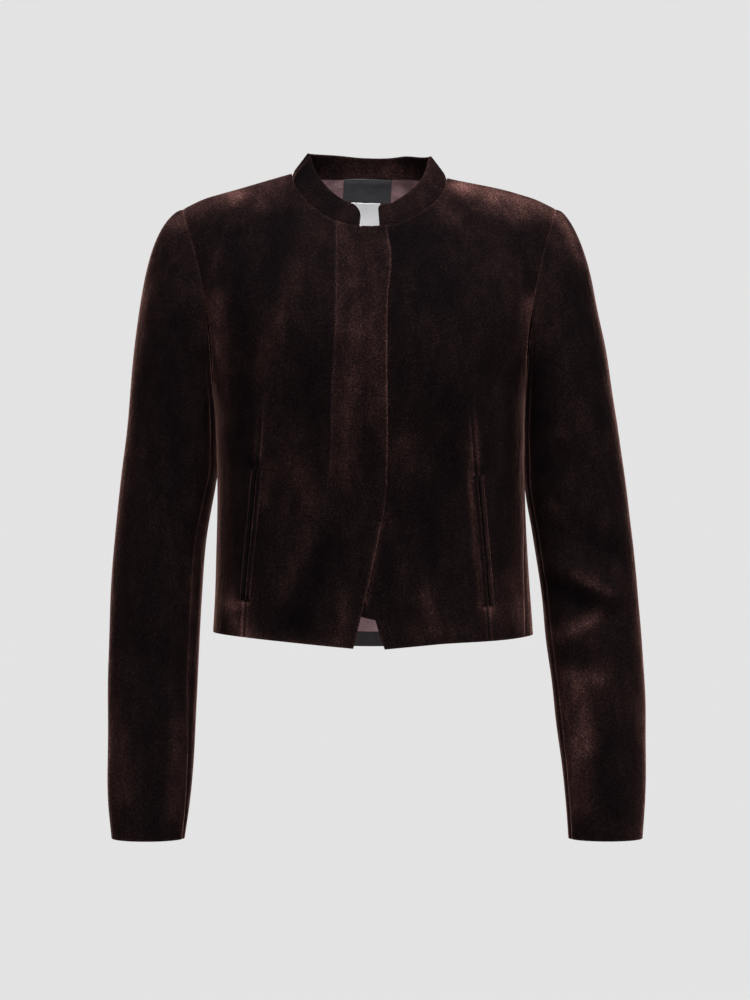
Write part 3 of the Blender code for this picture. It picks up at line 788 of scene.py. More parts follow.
@dataclass(frozen=True)
class BodyForm:
    """The body's form: level rings below the arms, rolled over the shoulders above."""

    sections: tuple[Section, ...] = (
        Section(-480.0, 162.0, 110.0, 104.0, 4.0),
        Section(-400.0, 157.0, 110.0, 97.0, 2.8),
        Section(-330.0, 154.4, 112.0, 95.0, 2.0),
        Section(-270.0, 154.4, 118.0, 101.0, 1.0),
        Section(-215.0, 157.0, 123.0, 109.0, 0.0),
        Section(-130.0, 183.0, 116.0, 114.0, 0.0),
        Section(-60.0, 198.0, 92.0, 111.0, 0.0),
        Section(0.0, 204.0, 74.0, 101.0, 0.0),
        Section(40.0, 206.0, 66.0, 92.0, 0.0),
    )
    armhole: tuple[ArmholeRow, ...] = (
        ArmholeRow(0.00, 188.0, 188.0),
        ArmholeRow(0.20, 176.5, 182.0),
        ArmholeRow(0.45, 165.6, 175.5),
        ArmholeRow(0.70, 158.4, 168.0),
        ArmholeRow(0.90, 156.6, 160.0),
        ArmholeRow(1.00, 157.0, 157.0),
    )
    lower_rows: tuple[float, ...] = (0.0, 0.058, 0.15, 0.25, 0.35, 0.45, 0.55, 0.66, 0.77, 0.88, 1.0)
    upper_count: int = 10
    upper_ease: float = 1.9
    settle_rounds: int = 4
    roundness: float = 2.3
    ridge_y: float = 8.0
    underarm_z: float = -215.0
    shoulder_peak: float = 31.0
    shoulder_slope: float = 0.30
    shoulder_round: float = 40.0
    shoulder_roll: float = 3.5
    shoulder_half: float = 188.0
    hem_front: float = -469.0
    hem_side: float = -454.0
    hem_back: float = -472.0
    neck_half: float = 78.0
    neck_back_z: float = 4.5
    neck_drop: float = 58.5
    neck_curve: float = 1.6
    underlap_rise: float = 3.0
    underlap_rise_ends: tuple[float, float] = (8.0, 30.0)
    side_seam_top: float = 90.0
    side_seam_hem_right: float = 90.0
    side_seam_hem_left: float = 69.0
    inside_edge: float = 0.99995
    probe: float = 0.004
    tip_drop: float = 4.5
    tip_ends: tuple[float, float] = (160.0, 196.0)
    tip_fade: tuple[float, float] = (-120.0, -45.0)
    left_drop: float = 4.2
    left_rise: tuple[float, float] = (38.0, 74.0)
    left_fall: tuple[float, float] = (76.0, 146.0)
    left_fade: tuple[float, float] = (-70.0, -20.0)
    hem_drop: float = 3.6
    hem_ends: tuple[float, float] = (62.0, 148.0)
    hem_fade: tuple[float, float] = (-466.0, -428.0)

    @property
    def base_row(self) -> int:
        """The fine row at the underarm."""
        return (len(self.lower_rows) - 1) * LOWER_SPLIT

    def lower_shares(self) -> np.ndarray:
        """Shares of the way from the hem to the underarm, by fine row."""
        places = finer(len(self.lower_rows) - 1, LOWER_SPLIT)
        return np.interp(places, np.arange(len(self.lower_rows)), self.lower_rows)

    def upper_shares(self) -> np.ndarray:
        """Shares of the way from the underarm to the top edge, closer near the top."""
        step = np.linspace(0.0, 1.0, self.upper_count * UPPER_SPLIT + 1)
        return 1.0 - (1.0 - step) ** self.upper_ease

    def shoulder_height(self, x: Any) -> Any:
        """Height of the shoulder ridge at a sideways place, carried on over the neck."""
        return self.shoulder_peak - self.shoulder_slope * np.hypot(x, self.shoulder_round)

    def section(self, column: str, z: np.ndarray) -> np.ndarray:
        """Read one column of the level rings at a height."""
        return through(self.sections, column, z)

    def across(self, x: np.ndarray, z: np.ndarray) -> np.ndarray:
        """Share of the way from the ring's middle to its side."""
        return np.clip(np.abs(x - self.section("shift", z)) / self.section("half_width", z), 0.0, 1.0)

    def depth(self, x: np.ndarray, z: np.ndarray, facing: Facing) -> np.ndarray:
        """Say how far the cloth lies in front of or behind the shoulder ridge.

        Args:
            x: Sideways places.
            z: Heights.
            facing: Front or back.

        Returns:
            Depths.
        """
        deep = self.section("back_depth" if facing is Facing.BACK else "front_depth", z)
        rise = (z - self.underarm_z) / (self.shoulder_height(x) - self.underarm_z)
        rolled = np.sqrt(1.0 - np.clip(rise, 0.0, 1.0) ** self.shoulder_roll)
        return deep * (1.0 - self.across(x, z) ** self.roundness) ** (1.0 / self.roundness) * rolled

    def points(self, x: np.ndarray, z: np.ndarray, facing: Facing, panel: Facing) -> np.ndarray:
        """Place points on one half of the form; a panel keeps to its own side of the seam gap."""
        y = self.ridge_y + facing.value * self.depth(x, z, facing) + panel.value * SEAM_GAP / 2
        return np.stack([x, y, z], axis=-1)

    def normals(self, x: np.ndarray, z: np.ndarray, facing: Facing) -> np.ndarray:
        """Find the outward directions of the form.

        Args:
            x: Sideways places.
            z: Heights.
            facing: Front or back.

        Returns:
            The directions.
        """
        shift = self.section("shift", z)
        reach = self.inside_edge * self.section("half_width", z)
        x = shift + np.clip(x - shift, -reach, reach)
        top = self.shoulder_height(x) - self.underarm_z
        z = np.minimum(z, self.underarm_z + self.inside_edge * top)
        near = self.probe
        along_x = self.depth(x + near, z, facing) - self.depth(x - near, z, facing)
        along_z = self.depth(x, z + near, facing) - self.depth(x, z - near, facing)
        out = facing.value * 2 * near * np.ones_like(x)
        return unit(np.stack([-along_x, out, -along_z], axis=-1))

    def hung(self, cloth: Cloth) -> Cloth:
        """Let the shoulder tips, the left neck point and the left of the hem hang lower.

        Args:
            cloth: A panel on the form.

        Returns:
            The hung panel.
        """
        points = cloth.points.copy()
        x, z = points[..., 0], points[..., 2]
        # The shoulder tips carry the weight of the sleeves
        z -= self.tip_drop * smoothstep(*self.tip_ends, np.abs(x)) * smoothstep(*self.tip_fade, z)
        # The left shoulder starts a little lower at the neck than the right one
        near = smoothstep(*self.left_rise, x) * (1.0 - smoothstep(*self.left_fall, x))
        z -= self.left_drop * near * smoothstep(*self.left_fade, z)
        # The hem hangs a little lower towards the left side seam
        z -= self.hem_drop * (1.0 - smoothstep(*self.hem_fade, z)) * smoothstep(*self.hem_ends, x)
        return replace(cloth, points=points)

    def ring_x(self, degrees: np.ndarray, z: np.ndarray, side: Side) -> np.ndarray:
        """Find the sideways place at an angle around the ring, from the centre front."""
        lean = np.abs(np.sin(np.radians(degrees))) ** (2.0 / self.roundness)
        return self.section("shift", z) + side.value * self.section("half_width", z) * lean

    def ring_angle(self, x: np.ndarray, z: np.ndarray, side: Side) -> np.ndarray:
        """Find the angle of a sideways place around the front half of the ring."""
        share = side.value * (x - self.section("shift", z)) / self.section("half_width", z)
        return np.degrees(np.arcsin(np.clip(share, 0.0, 1.0) ** (self.roundness / 2.0)))

    def hem_height(self, x: np.ndarray, z: np.ndarray, behind: np.ndarray | bool) -> np.ndarray:
        """Find the height of the hem, straight in front and curved behind.

        Args:
            x: Sideways places.
            z: Heights that the form is read at.
            behind: Where the cloth is on the back half.

        Returns:
            Heights.
        """
        share = self.across(x, z)
        front = self.hem_front + (self.hem_side - self.hem_front) * share
        back = self.hem_back + (self.hem_side - self.hem_back) * share ** 2
        return np.where(behind, back, front)

    def side_seam_angle(self, z: np.ndarray, side: Side) -> np.ndarray:
        """Find where the side seam lies around the ring.

        Args:
            z: Heights.
            side: The wearer's side.

        Returns:
            Angles in degrees.
        """
        share = np.clip((z - self.underarm_z) / (self.hem_side - self.underarm_z), 0.0, 1.0)
        hem = self.side_seam_hem_right if side is Side.RIGHT else self.side_seam_hem_left
        return self.side_seam_top + (hem - self.side_seam_top) * share

    def front_neck_height(self, away: np.ndarray, side: Side) -> np.ndarray:
        """Find the height of the neck seam on a front.

        Args:
            away: Distances from the centre line.
            side: The wearer's side; the left front rises a little under the right one.

        Returns:
            Heights.
        """
        share = np.clip(np.abs(away) / self.neck_half, 0.0, 1.0)
        drop = self.neck_drop * (1.0 - share ** 2) ** (1.0 / self.neck_curve)
        lapped = 1.0 - smoothstep(*self.underlap_rise_ends, away)
        rise = self.underlap_rise * lapped if side is Side.LEFT else 0.0
        return self.shoulder_height(self.neck_half) - drop + rise

    def armhole_away(self, z: np.ndarray, column: str) -> np.ndarray:
        """Find how far out the armhole seam lies at a height, in front or behind."""
        top = self.shoulder_height(self.shoulder_half)
        return through(self.armhole, column, (top - z) / (top - self.underarm_z))

    def upper_places(self, lower_x: np.ndarray, top_away: np.ndarray, top_z: np.ndarray,
                     inner_edge: Callable[[np.ndarray], np.ndarray],
                     armhole: Callable[[np.ndarray], np.ndarray],
                     side: Side, inner_reach: float = 1.0) -> tuple[np.ndarray, np.ndarray]:
        """Lay out a panel from the underarm to its top edge.

        Args:
            lower_x: Sideways places at the underarm.
            top_away: Distances from the centre line along the top edge.
            top_z: Heights of the top edge.
            inner_edge: The inner edge's distance by height.
            armhole: The armhole's distance by height.
            side: The wearer's side.
            inner_reach: Share of the panel that follows a wave of its inner edge.

        Returns:
            Sideways places and heights.
        """
        shares = self.upper_shares()[:, None]
        columns = np.linspace(0.0, 1.0, lower_x.shape[0])
        z = self.underarm_z + shares * (top_z[None, :] - self.underarm_z)
        away = side.value * lower_x[None, :] * (1.0 - shares) + top_away[None, :] * shares
        inner = inner_edge(z[:, :1])
        outer = armhole(z[:, -1:])
        inner_bend = inner - (inner[0] * (1.0 - shares) + inner[-1] * shares)
        outer_bend = outer - (outer[0] * (1.0 - shares) + outer[-1] * shares)
        near = np.clip(1.0 - columns / inner_reach, 0.0, 1.0)
        return side.value * (away + near * inner_bend + columns * outer_bend), z


def marks(facing: Facing, *rows: Sequence[float]) -> tuple[Mark, ...]:
    """Make the marks on one half of the jacket, each from a row of its numbers."""
    return tuple(Mark(facing, *row) for row in rows)


# Folds of the body's cloth: soft swellings and hollows, uneven in length and depth
BODY_FOLDS = marks(
    Facing.FRONT,
    (-62, -66, -116, -196, 19, 1.6), (-150, -118, -118, -214, 20, -1.8),
    (-36, -372, -78, -452, 24, -2), (-76, -268, -70, -420, 17, 1.2),
    (-136, -250, -140, -430, 12, 1), (34, -262, 92, -296, 24, -1.8),
    (60, -372, 110, -418, 20, -1.6), (40, -400, 66, -440, 16, 1.4),
    (148, -120, 112, -226, 20, -1.6),
) + marks(
    Facing.BACK,
    (-120, -90, -96, -250, 26, -2.2), (112, -96, 100, -236, 24, -1.8),
    (-8, -210, 4, -400, 22, -2.4), (-66, -250, -84, -430, 16, 1.8),
    (62, -270, 88, -440, 18, 1.5), (-130, -300, -60, -330, 14, -1.5),
    (136, -310, 76, -332, 13, -1.2),
)

# Strokes of the nap on the body and of painted highlights and shade, in stops: lighter above zero and
# darker below it
BODY_NAP_AND_LIGHT = marks(
    Facing.FRONT,
    # In front: brushed nap, with painted highlights on the shoulders, edges and pocket lips, and painted
    # shade near the armholes and at the pocket ends
    (97, -296, 108.5, -425, 2.4, 1.3), (-128.5, -423.2, -118, -423.2, 2, 1.9),
    (112.7, -428.2, 122.7, -428.2, 2, 2.1), (-72.5, -91, -107.5, -202, 11, 1.2),
    (-146.5, -122, -144.5, -239, 10, 2), (-144.5, -244, -145.5, -422, 11, 1.5),
    (-21.5, -60, -17.5, -108, 8, 1.2), (-15.5, -112, -13.5, -152, 10, 0.7),
    (-13.5, -161, -19.5, -218, 10, 1.4), (-20.5, -233, -23.5, -308, 9, 1.5),
    (4.5, -62, 5.5, -242, 12, 0.8), (-72.5, -286, -58.5, -322, 11, 1),
    (-57.5, -356, -83.5, -414, 10, 0.9), (-22.5, -416, -28.5, -457, 9, 1.2),
    (-142.5, -426, -123.5, -451, 14, 2.6), (-112.5, -458, -54.5, -467, 6, 1.3),
    (-97.5, -290, -103.5, -322, 8, 1.5), (-102.5, -221, -107.5, -279, 4, 1.2),
    (-132.5, -61, -126.5, -161, 12, -1.2), (-126.5, -210, -126.5, -279, 12, -1.4),
    (-46.5, -371, -69.5, -439, 18, -1.6), (-54.5, -182, -57.5, -222, 22, -0.8),
    (-108.5, -30, -92.5, -24, 12, 1.4), (118.5, -34, 150.5, -40, 9, 1.2),
    (66.5, -25, 80.5, -44, 9, 1.3), (158.5, -126, 156.5, -202, 9, 2.6),
    (154.5, -216, 153.5, -322, 7, 1), (153.5, -338, 153.5, -448, 9, 2),
    (54.5, -417, 62.5, -448, 10, 1.8), (80.5, -452, 92.5, -448, 8, 0.8),
    (101.5, -233, 107.5, -290, 3, 1.2), (72.5, -219, 80.5, -290, 22, -1.1),
    (57.5, -332, 60.5, -367, 22, -0.9), (19.5, -372, 18.5, -434, 9, -0.7),
    (35.5, -267, 39.5, -284, 16, 0.6), (138.5, -399, 143.5, -428, 12, 1.2),
    (40.5, -62, 70.5, -108, 26, -1), (-84.5, -50, -94.5, -112, 18, -1.3),
    (24.5, -62, 28.5, -230, 8, -0.7), (150.5, -62, 160.5, -108, 10, -0.8),
    (-157.5, -130, -149.5, -196, 8, 1.4), (97.5, -284, 113.5, -422, 3.5, 1.5),
    (11.5, -347, -2.5, -422, 3.5, 1.6), (-72.5, -456, -34.5, -462, 6, 0.8),
    (44.5, -450, 49.5, -459, 8, 1.3), (30.5, -352, 34.5, -412, 13, 0.5),
    (76.5, -250, 88.5, -268, 12, 0.6), (149.5, -424, 151.5, -452, 10, 1.2),
    (110.5, -430, 124.5, -440, 8, 0.7), (-118.5, -286, -110.5, -286, 4, -1.6),
    (-133.5, -427.5, -125.5, -427.5, 1.6, 1.4), (101.5, -291, 109.5, -291, 4, -1.6),
    (117.5, -434, 125.5, -434, 1.6, 1.2), (101.5, -275, 106.5, -322, 7, 1.2),
    (-131.5, -424, -121.5, -424, 7, 1.1), (114.5, -424, 122.5, -428, 8, 0.9),
    (16.5, -72, 19.5, -90, 4, 1.3),
) + marks(
    Facing.BACK,
    # Behind: brushed nap, with painted highlights on the shoulder tops
    (-110, -60, -90, -230, 20, 1.8), (96, -80, 116, -260, 18, 1.6),
    (-10, -220, 6, -410, 24, -1.2), (-70, -260, -90, -440, 13, 1.7),
    (66, -290, 90, -450, 13, 1.5), (-40, -30, 30, -24, 16, 1.6),
    (20, -120, 34, -200, 16, 1), (-150, -26, -90, -8, 12, 2),
    (90, -8, 150, -26, 12, 2.2),
) + marks(
    Facing.OVER,
    # Over both halves: painted shade along the sides where the sleeves meet the body, and painted
    # highlights on the shoulder tops
    (-156, -205, -151, -300, 4.5, -1.2), (157, -205, 154, -300, 4.5, -1.2),
    (-184.5, -32, -133.5, -18, 12, 2.2), (-133.5, -18, -87.5, -4, 11, 1.8),
    (92.5, -8, 186.5, -34, 14, 3), (-154, -212, -152, -290, 4, -1.5),
    (155.5, -212, 155.5, -318, 4, -1.5), (72.5, -8, 92.5, -13, 7, 1.1),
)


@dataclass
class FrontPanel:
    """One front: its edge, darts, underlap and folds."""

    form: BodyForm
    side: Side
    edge: tuple[FrontEdge, ...] = (
        FrontEdge(-470.0, 16.4, 15.8),
        FrontEdge(-453.0, 12.2, 9.6),
        FrontEdge(-444.0, 10.1, 7.2),
        FrontEdge(-437.2, 8.5, 5.2),
        FrontEdge(-436.0, 8.2, -10.4),
        FrontEdge(-433.0, 7.5, -10.6),
        FrontEdge(-420.0, 4.2, -10.8),
        FrontEdge(-410.0, 1.6, -11.0),
        FrontEdge(-381.0, -4.6, -11.6),
        FrontEdge(-353.0, -10.4, -12.4),
        FrontEdge(-326.0, -15.7, -15.7),
        FrontEdge(-297.0, -17.3, -17.3),
        FrontEdge(-172.0, -17.3, -17.3),
        FrontEdge(-123.0, -18.2, -17.3),
        FrontEdge(-84.0, -21.4, -13.5),
        FrontEdge(-56.0, -17.5, -7.6),
    )
    fly_line: tuple[FlyLine, ...] = (
        FlyLine(-470.0, 46.0),
        FlyLine(-335.0, 42.5),
        FlyLine(-286.0, 38.0),
        FlyLine(-205.0, 36.3),
        FlyLine(-122.0, 34.0),
        FlyLine(-50.0, 33.5),
    )
    dart_line: tuple[DartLine, ...] = (
        DartLine(-470.0, 124.6, 119.4),
        DartLine(-424.0, 122.0, 116.4),
        DartLine(-293.0, 110.0, 105.0),
        DartLine(-215.0, 105.0, 98.0),
    )
    neck_places: tuple[float, ...] = (-3.0, 10.0, 22.0, 33.5, 47.0, 60.5, 71.0, 78.0)
    collar_column: int = 2
    fly_column: int = 4
    neck_column: int = 8
    dart_column: int = 11
    columns: int = 17
    underlap_ends: tuple[float, float] = (24.0, 62.0)
    dart_top_z: float = -222.0
    dart_fade: float = 36.0
    dart_depth: float = 1.7
    dart_width: float = 1.9
    dart_light_and_shade: float = 1.6
    dart_highlight_away: float = 2.2
    dart_dark_width: float = 1.2
    seam_depth: float = 0.8
    seam_width: float = 3.2
    swell_height: float = 0.35
    swell_length: float = 90.0
    swell_seed: int = 11
    swell_fade: tuple[float, float] = (0.0, 30.0)
    plain: Cloth = field(init=False)
    cloth: Cloth = field(init=False)

    def __post_init__(self) -> None:
        """Lay out the plain panel, then dress it."""
        self.plain = self.lay_out()
        self.cloth = self.dress(self.plain)

    def edge_away(self, z: np.ndarray) -> np.ndarray:
        """Read the front edge's distance from the centre line.

        Args:
            z: Heights.

        Returns:
            The distances, straight between the rows on the left, whose underlap ends square.
        """
        if self.side is Side.RIGHT:
            return through(self.edge, self.side.word, z)
        return np.interp(z, [row.z for row in self.edge], [row.left for row in self.edge])

    def lower(self) -> tuple[np.ndarray, np.ndarray]:
        """Lay out the front from the hem to the underarm.

        Returns:
            Sideways places and heights.
        """
        form, sign = self.form, self.side.value
        rows = form.lower_shares()[:, None]
        places = finer(self.columns, COLUMN_SPLIT)
        to_fly = np.clip(places / self.fly_column, 0.0, 1.0)
        to_dart = np.clip((places - self.fly_column) / (self.dart_column - self.fly_column), 0.0, 1.0)
        to_side = np.clip((places - self.dart_column) / (self.columns - self.dart_column), 0.0, 1.0)
        fly_at = slice(self.fly_column * COLUMN_SPLIT, self.fly_column * COLUMN_SPLIT + 1)
        dart_at = slice(self.dart_column * COLUMN_SPLIT, self.dart_column * COLUMN_SPLIT + 1)
        z = np.repeat(form.hem_side * (1.0 - rows) + form.underarm_z * rows, len(places), axis=1)
        x = np.zeros_like(z)
        for _ in range(form.settle_rounds):
            edge = sign * self.edge_away(z[:, :1])
            fly = sign * through(self.fly_line, "away", z[:, fly_at])
            dart = sign * through(self.dart_line, self.side.word, z[:, dart_at])
            start = form.ring_angle(dart, z[:, dart_at], self.side)
            turn = start + (form.side_seam_angle(z, self.side) - start) * to_side
            near = edge + (fly - edge) * to_fly + (dart - fly) * to_dart
            x = np.where(places <= self.dart_column, near, form.ring_x(turn, z, self.side))
            z = form.hem_height(x, z, False) * (1.0 - rows) + form.underarm_z * rows
        return x, z

    def lay_out(self) -> Cloth:
        """Lay the whole front on the form.

        Returns:
            The front, hem to shoulder and edge to side, with its underlap sunk.
        """
        form = self.form
        low_x, low_z = self.lower()
        edge_top = self.edge_away(0.0)
        shoulder = np.linspace(form.neck_half, form.shoulder_half, self.columns - self.neck_column + 1)
        coarse = np.concatenate([[edge_top], self.neck_places, shoulder[1:]])
        top_away = np.interp(finer(self.columns, COLUMN_SPLIT), np.arange(len(coarse)), coarse)
        neck_z = form.front_neck_height(top_away, self.side)
        top_z = np.where(top_away <= form.neck_half, neck_z, form.shoulder_height(top_away))
        high_x, high_z = form.upper_places(
            low_x[-1], top_away, top_z, self.edge_away,
            lambda height: form.armhole_away(height, "front"), self.side, self.fly_column / self.columns)
        x = np.concatenate([low_x, high_x[1:]])
        z = np.concatenate([low_z, high_z[1:]])
        cloth = Cloth.of(form.points(x, z, Facing.FRONT, Facing.FRONT),
                         form.normals(x, z, Facing.FRONT), VELVET_WALL)
        if self.side is Side.LEFT:
            lapped = 1.0 - smoothstep(*self.underlap_ends, x)
            cloth = cloth.lifted(-(VELVET_WALL + UNDERLAP_GAP) * lapped)
        return form.hung(cloth)

    def dress(self, cloth: Cloth) -> Cloth:
        """Add the dart, seams, folds and nap, with a painted highlight beside the dart and painted shade in
        its groove.

        Args:
            cloth: The plain front.

        Returns:
            The dressed front.
        """
        dart = cloth.points[:, self.dart_column * COLUMN_SPLIT][:, None]
        across = np.linalg.norm(cloth.points - dart, axis=-1)
        shown = 1.0 - smoothstep(self.dart_top_z - self.dart_fade, self.dart_top_z, dart[..., 2])
        sunk = -self.dart_depth * shown * bell(across, self.dart_width)
        uneven = self.swell_height * swell(cloth.points, self.swell_length, self.swell_seed)
        edge_fade = smoothstep(*self.swell_fade, cloth.edge_distance(Edge.FIRST_COLUMN))
        dressed = cloth.folded(BODY_FOLDS).lifted(sunk + uneven * edge_fade)
        dressed = dressed.seamed((Edge.LAST_COLUMN, Edge.LAST_ROW), self.seam_depth, self.seam_width)
        # Painted highlight beside the dart and painted shade in its groove
        lit = bell(across - self.dart_highlight_away, self.dart_width) - bell(across, self.dart_dark_width)
        dressed = replace(dressed, nap=dressed.nap + self.dart_light_and_shade * shown * lit)
        return dressed.brushed_and_lit(BODY_NAP_AND_LIGHT)


@dataclass
class BackPanel:
    """The back in one piece, from the right side seam to the left."""

    form: BodyForm
    neck_places: tuple[float, ...] = (0.0, 18.0, 36.0, 53.0, 67.0, 78.0)
    columns: int = 11
    seam_depth: float = 0.8
    seam_width: float = 3.2
    swell_height: float = 0.4
    swell_length: float = 100.0
    swell_seed: int = 23
    plain: Cloth = field(init=False)
    cloth: Cloth = field(init=False)

    def __post_init__(self) -> None:
        """Lay out the plain panel, then dress it."""
        right, left = self.half(Side.RIGHT), self.half(Side.LEFT)
        x, z, behind = [np.concatenate([a[:, :0:-1], b], axis=1) for a, b in zip(right, left)]
        form = self.form
        points = np.where(behind[..., None], form.points(x, z, Facing.BACK, Facing.BACK),
                          form.points(x, z, Facing.FRONT, Facing.BACK))
        normals = np.where(behind[..., None], form.normals(x, z, Facing.BACK),
                           form.normals(x, z, Facing.FRONT))
        self.plain = form.hung(Cloth.of(points, normals, VELVET_WALL))
        uneven = self.swell_height * swell(points, self.swell_length, self.swell_seed)
        seams = (Edge.FIRST_COLUMN, Edge.LAST_COLUMN, Edge.LAST_ROW)
        dressed = self.plain.folded(BODY_FOLDS).lifted(uneven)
        self.cloth = dressed.seamed(seams, self.seam_depth, self.seam_width).brushed_and_lit(BODY_NAP_AND_LIGHT)

    def half(self, side: Side) -> tuple[np.ndarray, np.ndarray, np.ndarray]:
        """Lay out half the back, from its centre to its side.

        Args:
            side: The wearer's side.

        Returns:
            Sideways places, heights, and where the cloth is on the back half of the form.
        """
        form = self.form
        rows = form.lower_shares()[:, None]
        places = finer(self.columns, COLUMN_SPLIT)
        columns = places / self.columns
        z = np.repeat(form.hem_side * (1.0 - rows) + form.underarm_z * rows, len(places), axis=1)
        for _ in range(form.settle_rounds):
            angle = 180.0 + (form.side_seam_angle(z, side) - 180.0) * columns
            x = form.ring_x(angle, z, side)
            z = form.hem_height(x, z, angle > 90.0) * (1.0 - rows) + form.underarm_z * rows
        shoulder = np.linspace(form.neck_half, form.shoulder_half, self.columns - len(self.neck_places) + 2)
        coarse = np.concatenate([self.neck_places, shoulder[1:]])
        top_away = np.interp(places, np.arange(len(coarse)), coarse)
        level = form.neck_back_z + (form.shoulder_height(form.neck_half) - form.neck_back_z) * (
            top_away / form.neck_half) ** 2
        top_z = np.where(top_away <= form.neck_half, level, form.shoulder_height(top_away))
        high_x, high_z = form.upper_places(
            x[-1], top_away, top_z, lambda height: 0.0 * height,
            lambda height: form.armhole_away(height, "back"), side)
        behind = np.concatenate([angle >= 90.0, np.ones(high_x[1:].shape, dtype=bool)])
        return np.concatenate([x, high_x[1:]]), np.concatenate([z, high_z[1:]]), behind


# The sleeves' folds; the left's first three and the right's first two are in the solids too
SLEEVE_FOLDS = {
    Side.LEFT: marks(
        Facing.FRONT,
        (186, -384, 240, -418, 11, 4.5), (182, -410, 236, -440, 11, -3.5),
        (205, -352, 262, -384, 12, -3), (178, -352, 206, -366, 8, -1.4),
        (168, -306, 196, -318, 9, 1.2), (196, -452, 222, -470, 10, 1.3),
        (200, -500, 214, -640, 14, 1.2), (172, -260, 210, -300, 13, -1.4),
    ) + marks(
        Facing.BACK,
        (190, -372, 236, -360, 12, -2.6), (192, -404, 244, -392, 12, 2.2),
        (196, -434, 238, -430, 10, -1.8), (214, -490, 234, -620, 12, 1.2),
    ),
    Side.RIGHT: marks(
        Facing.FRONT,
        (-238, -470, -190, -500, 16, -2), (-190, -330, -240, -372, 18, -2),
        (-236, -420, -196, -440, 14, 1.1), (-176, -262, -214, -300, 14, -1.2),
        (-232, -540, -226, -640, 14, 1),
    ) + marks(
        Facing.BACK,
        (-186, -378, -236, -362, 12, -2.4), (-190, -410, -244, -396, 13, 2),
        (-194, -446, -236, -436, 11, -1.6), (-212, -500, -228, -630, 12, 1),
    ),
}

# Strokes of the nap on the sleeves and of painted highlights and shade, in stops
SLEEVE_NAP_AND_LIGHT = {
    Side.LEFT: marks(
        Facing.FRONT,
        (192.5, -39, 207.5, -60, 7, 1.7), (203.5, -172, 203.5, -182, 14, 0.5),
        (207.5, -234, 208.5, -246, 10, 0.8), (186.5, -256, 196.5, -257, 6, 1),
        (180.5, -328, 186.5, -330, 8, 1), (167.5, -191, 172.5, -286, 14, -1),
        (202.5, -396, 234.5, -413, 5, 1.4), (220.5, -364, 236.5, -370, 14, -1.1),
        (185.5, -411, 214.5, -422, 12, -1.4), (189.5, -456, 225.5, -436, 9, 2.2),
        (194.5, -494, 227.5, -498, 10, 2), (206.5, -512, 204.5, -622, 13, 2.1),
        (213.5, -552, 214.5, -566, 13, 0.8), (271.5, -522, 270.5, -542, 9, 1.8),
        (267.5, -432, 268.5, -462, 6, 1.4), (260.5, -648, 266.5, -654, 9, 1),
        (236.5, -562, 237.5, -622, 12, -1), (172.5, -250, 178.5, -268, 8, 0.8),
        (178.5, -388, 216.5, -404, 9, 0.9), (210.5, -120, 228.5, -240, 18, -0.9),
    ) + marks(
        Facing.BACK,
        (200, -390, 240, -400, 12, 1.8), (214, -470, 236, -640, 12, 1.8),
        (196, -120, 214, -290, 14, 1),
    ) + marks(
        Facing.OVER,
        # Over both halves: painted highlights along the outer and inner edges and on the sleeve head
        (268.5, -430, 273.5, -560, 8, 1.2), (273.5, -560, 270.5, -654, 8, 1.2),
        (180.5, -452, 198.5, -562, 6, 0.9), (198.5, -562, 200.5, -654, 5, 0.6),
        (190.5, -38, 208.5, -80, 9, 1.9),
    ),
    Side.RIGHT: marks(
        Facing.FRONT,
        (-206.5, -44, -191.5, -50, 10, 1.8), (-221.5, -112, -229.5, -194, 3, 1.3),
        (-188.5, -232, -188.5, -292, 12, -0.5), (-212.5, -332, -206.5, -412, 16, -0.5),
        (-251.5, -536, -244.5, -612, 12, 1.5), (-191.5, -545, -193.5, -634, 8, 1.2),
        (-173.5, -382, -174.5, -433, 6, 0.8), (-213.5, -433, -213.5, -634, 18, -0.8),
        (-194.5, -152, -204.5, -302, 18, -0.9), (-239.5, -242, -247.5, -342, 7, 0.7),
    ) + marks(
        Facing.BACK,
        (-200, -396, -240, -404, 12, 1.7), (-210, -480, -230, -640, 12, 1.6),
        (-190, -130, -206, -280, 14, 1.2),
    ) + marks(
        Facing.OVER,
        # Over both halves: painted highlights along the outer and inner edges and on the sleeve head
        (-218.5, -90, -238.5, -242, 5, 0.6), (-238.5, -242, -258.5, -482, 5, 0.5),
        (-258.5, -482, -254.5, -654, 6, 0.8), (-164.5, -330, -172.5, -402, 4, 0.7),
        (-174.5, -402, -186.5, -650, 4, 0.9), (-200.5, -42, -188.5, -36, 10, 1.4),
        (-212.5, -58, -226.5, -150, 8, 0.9),
    ),
}


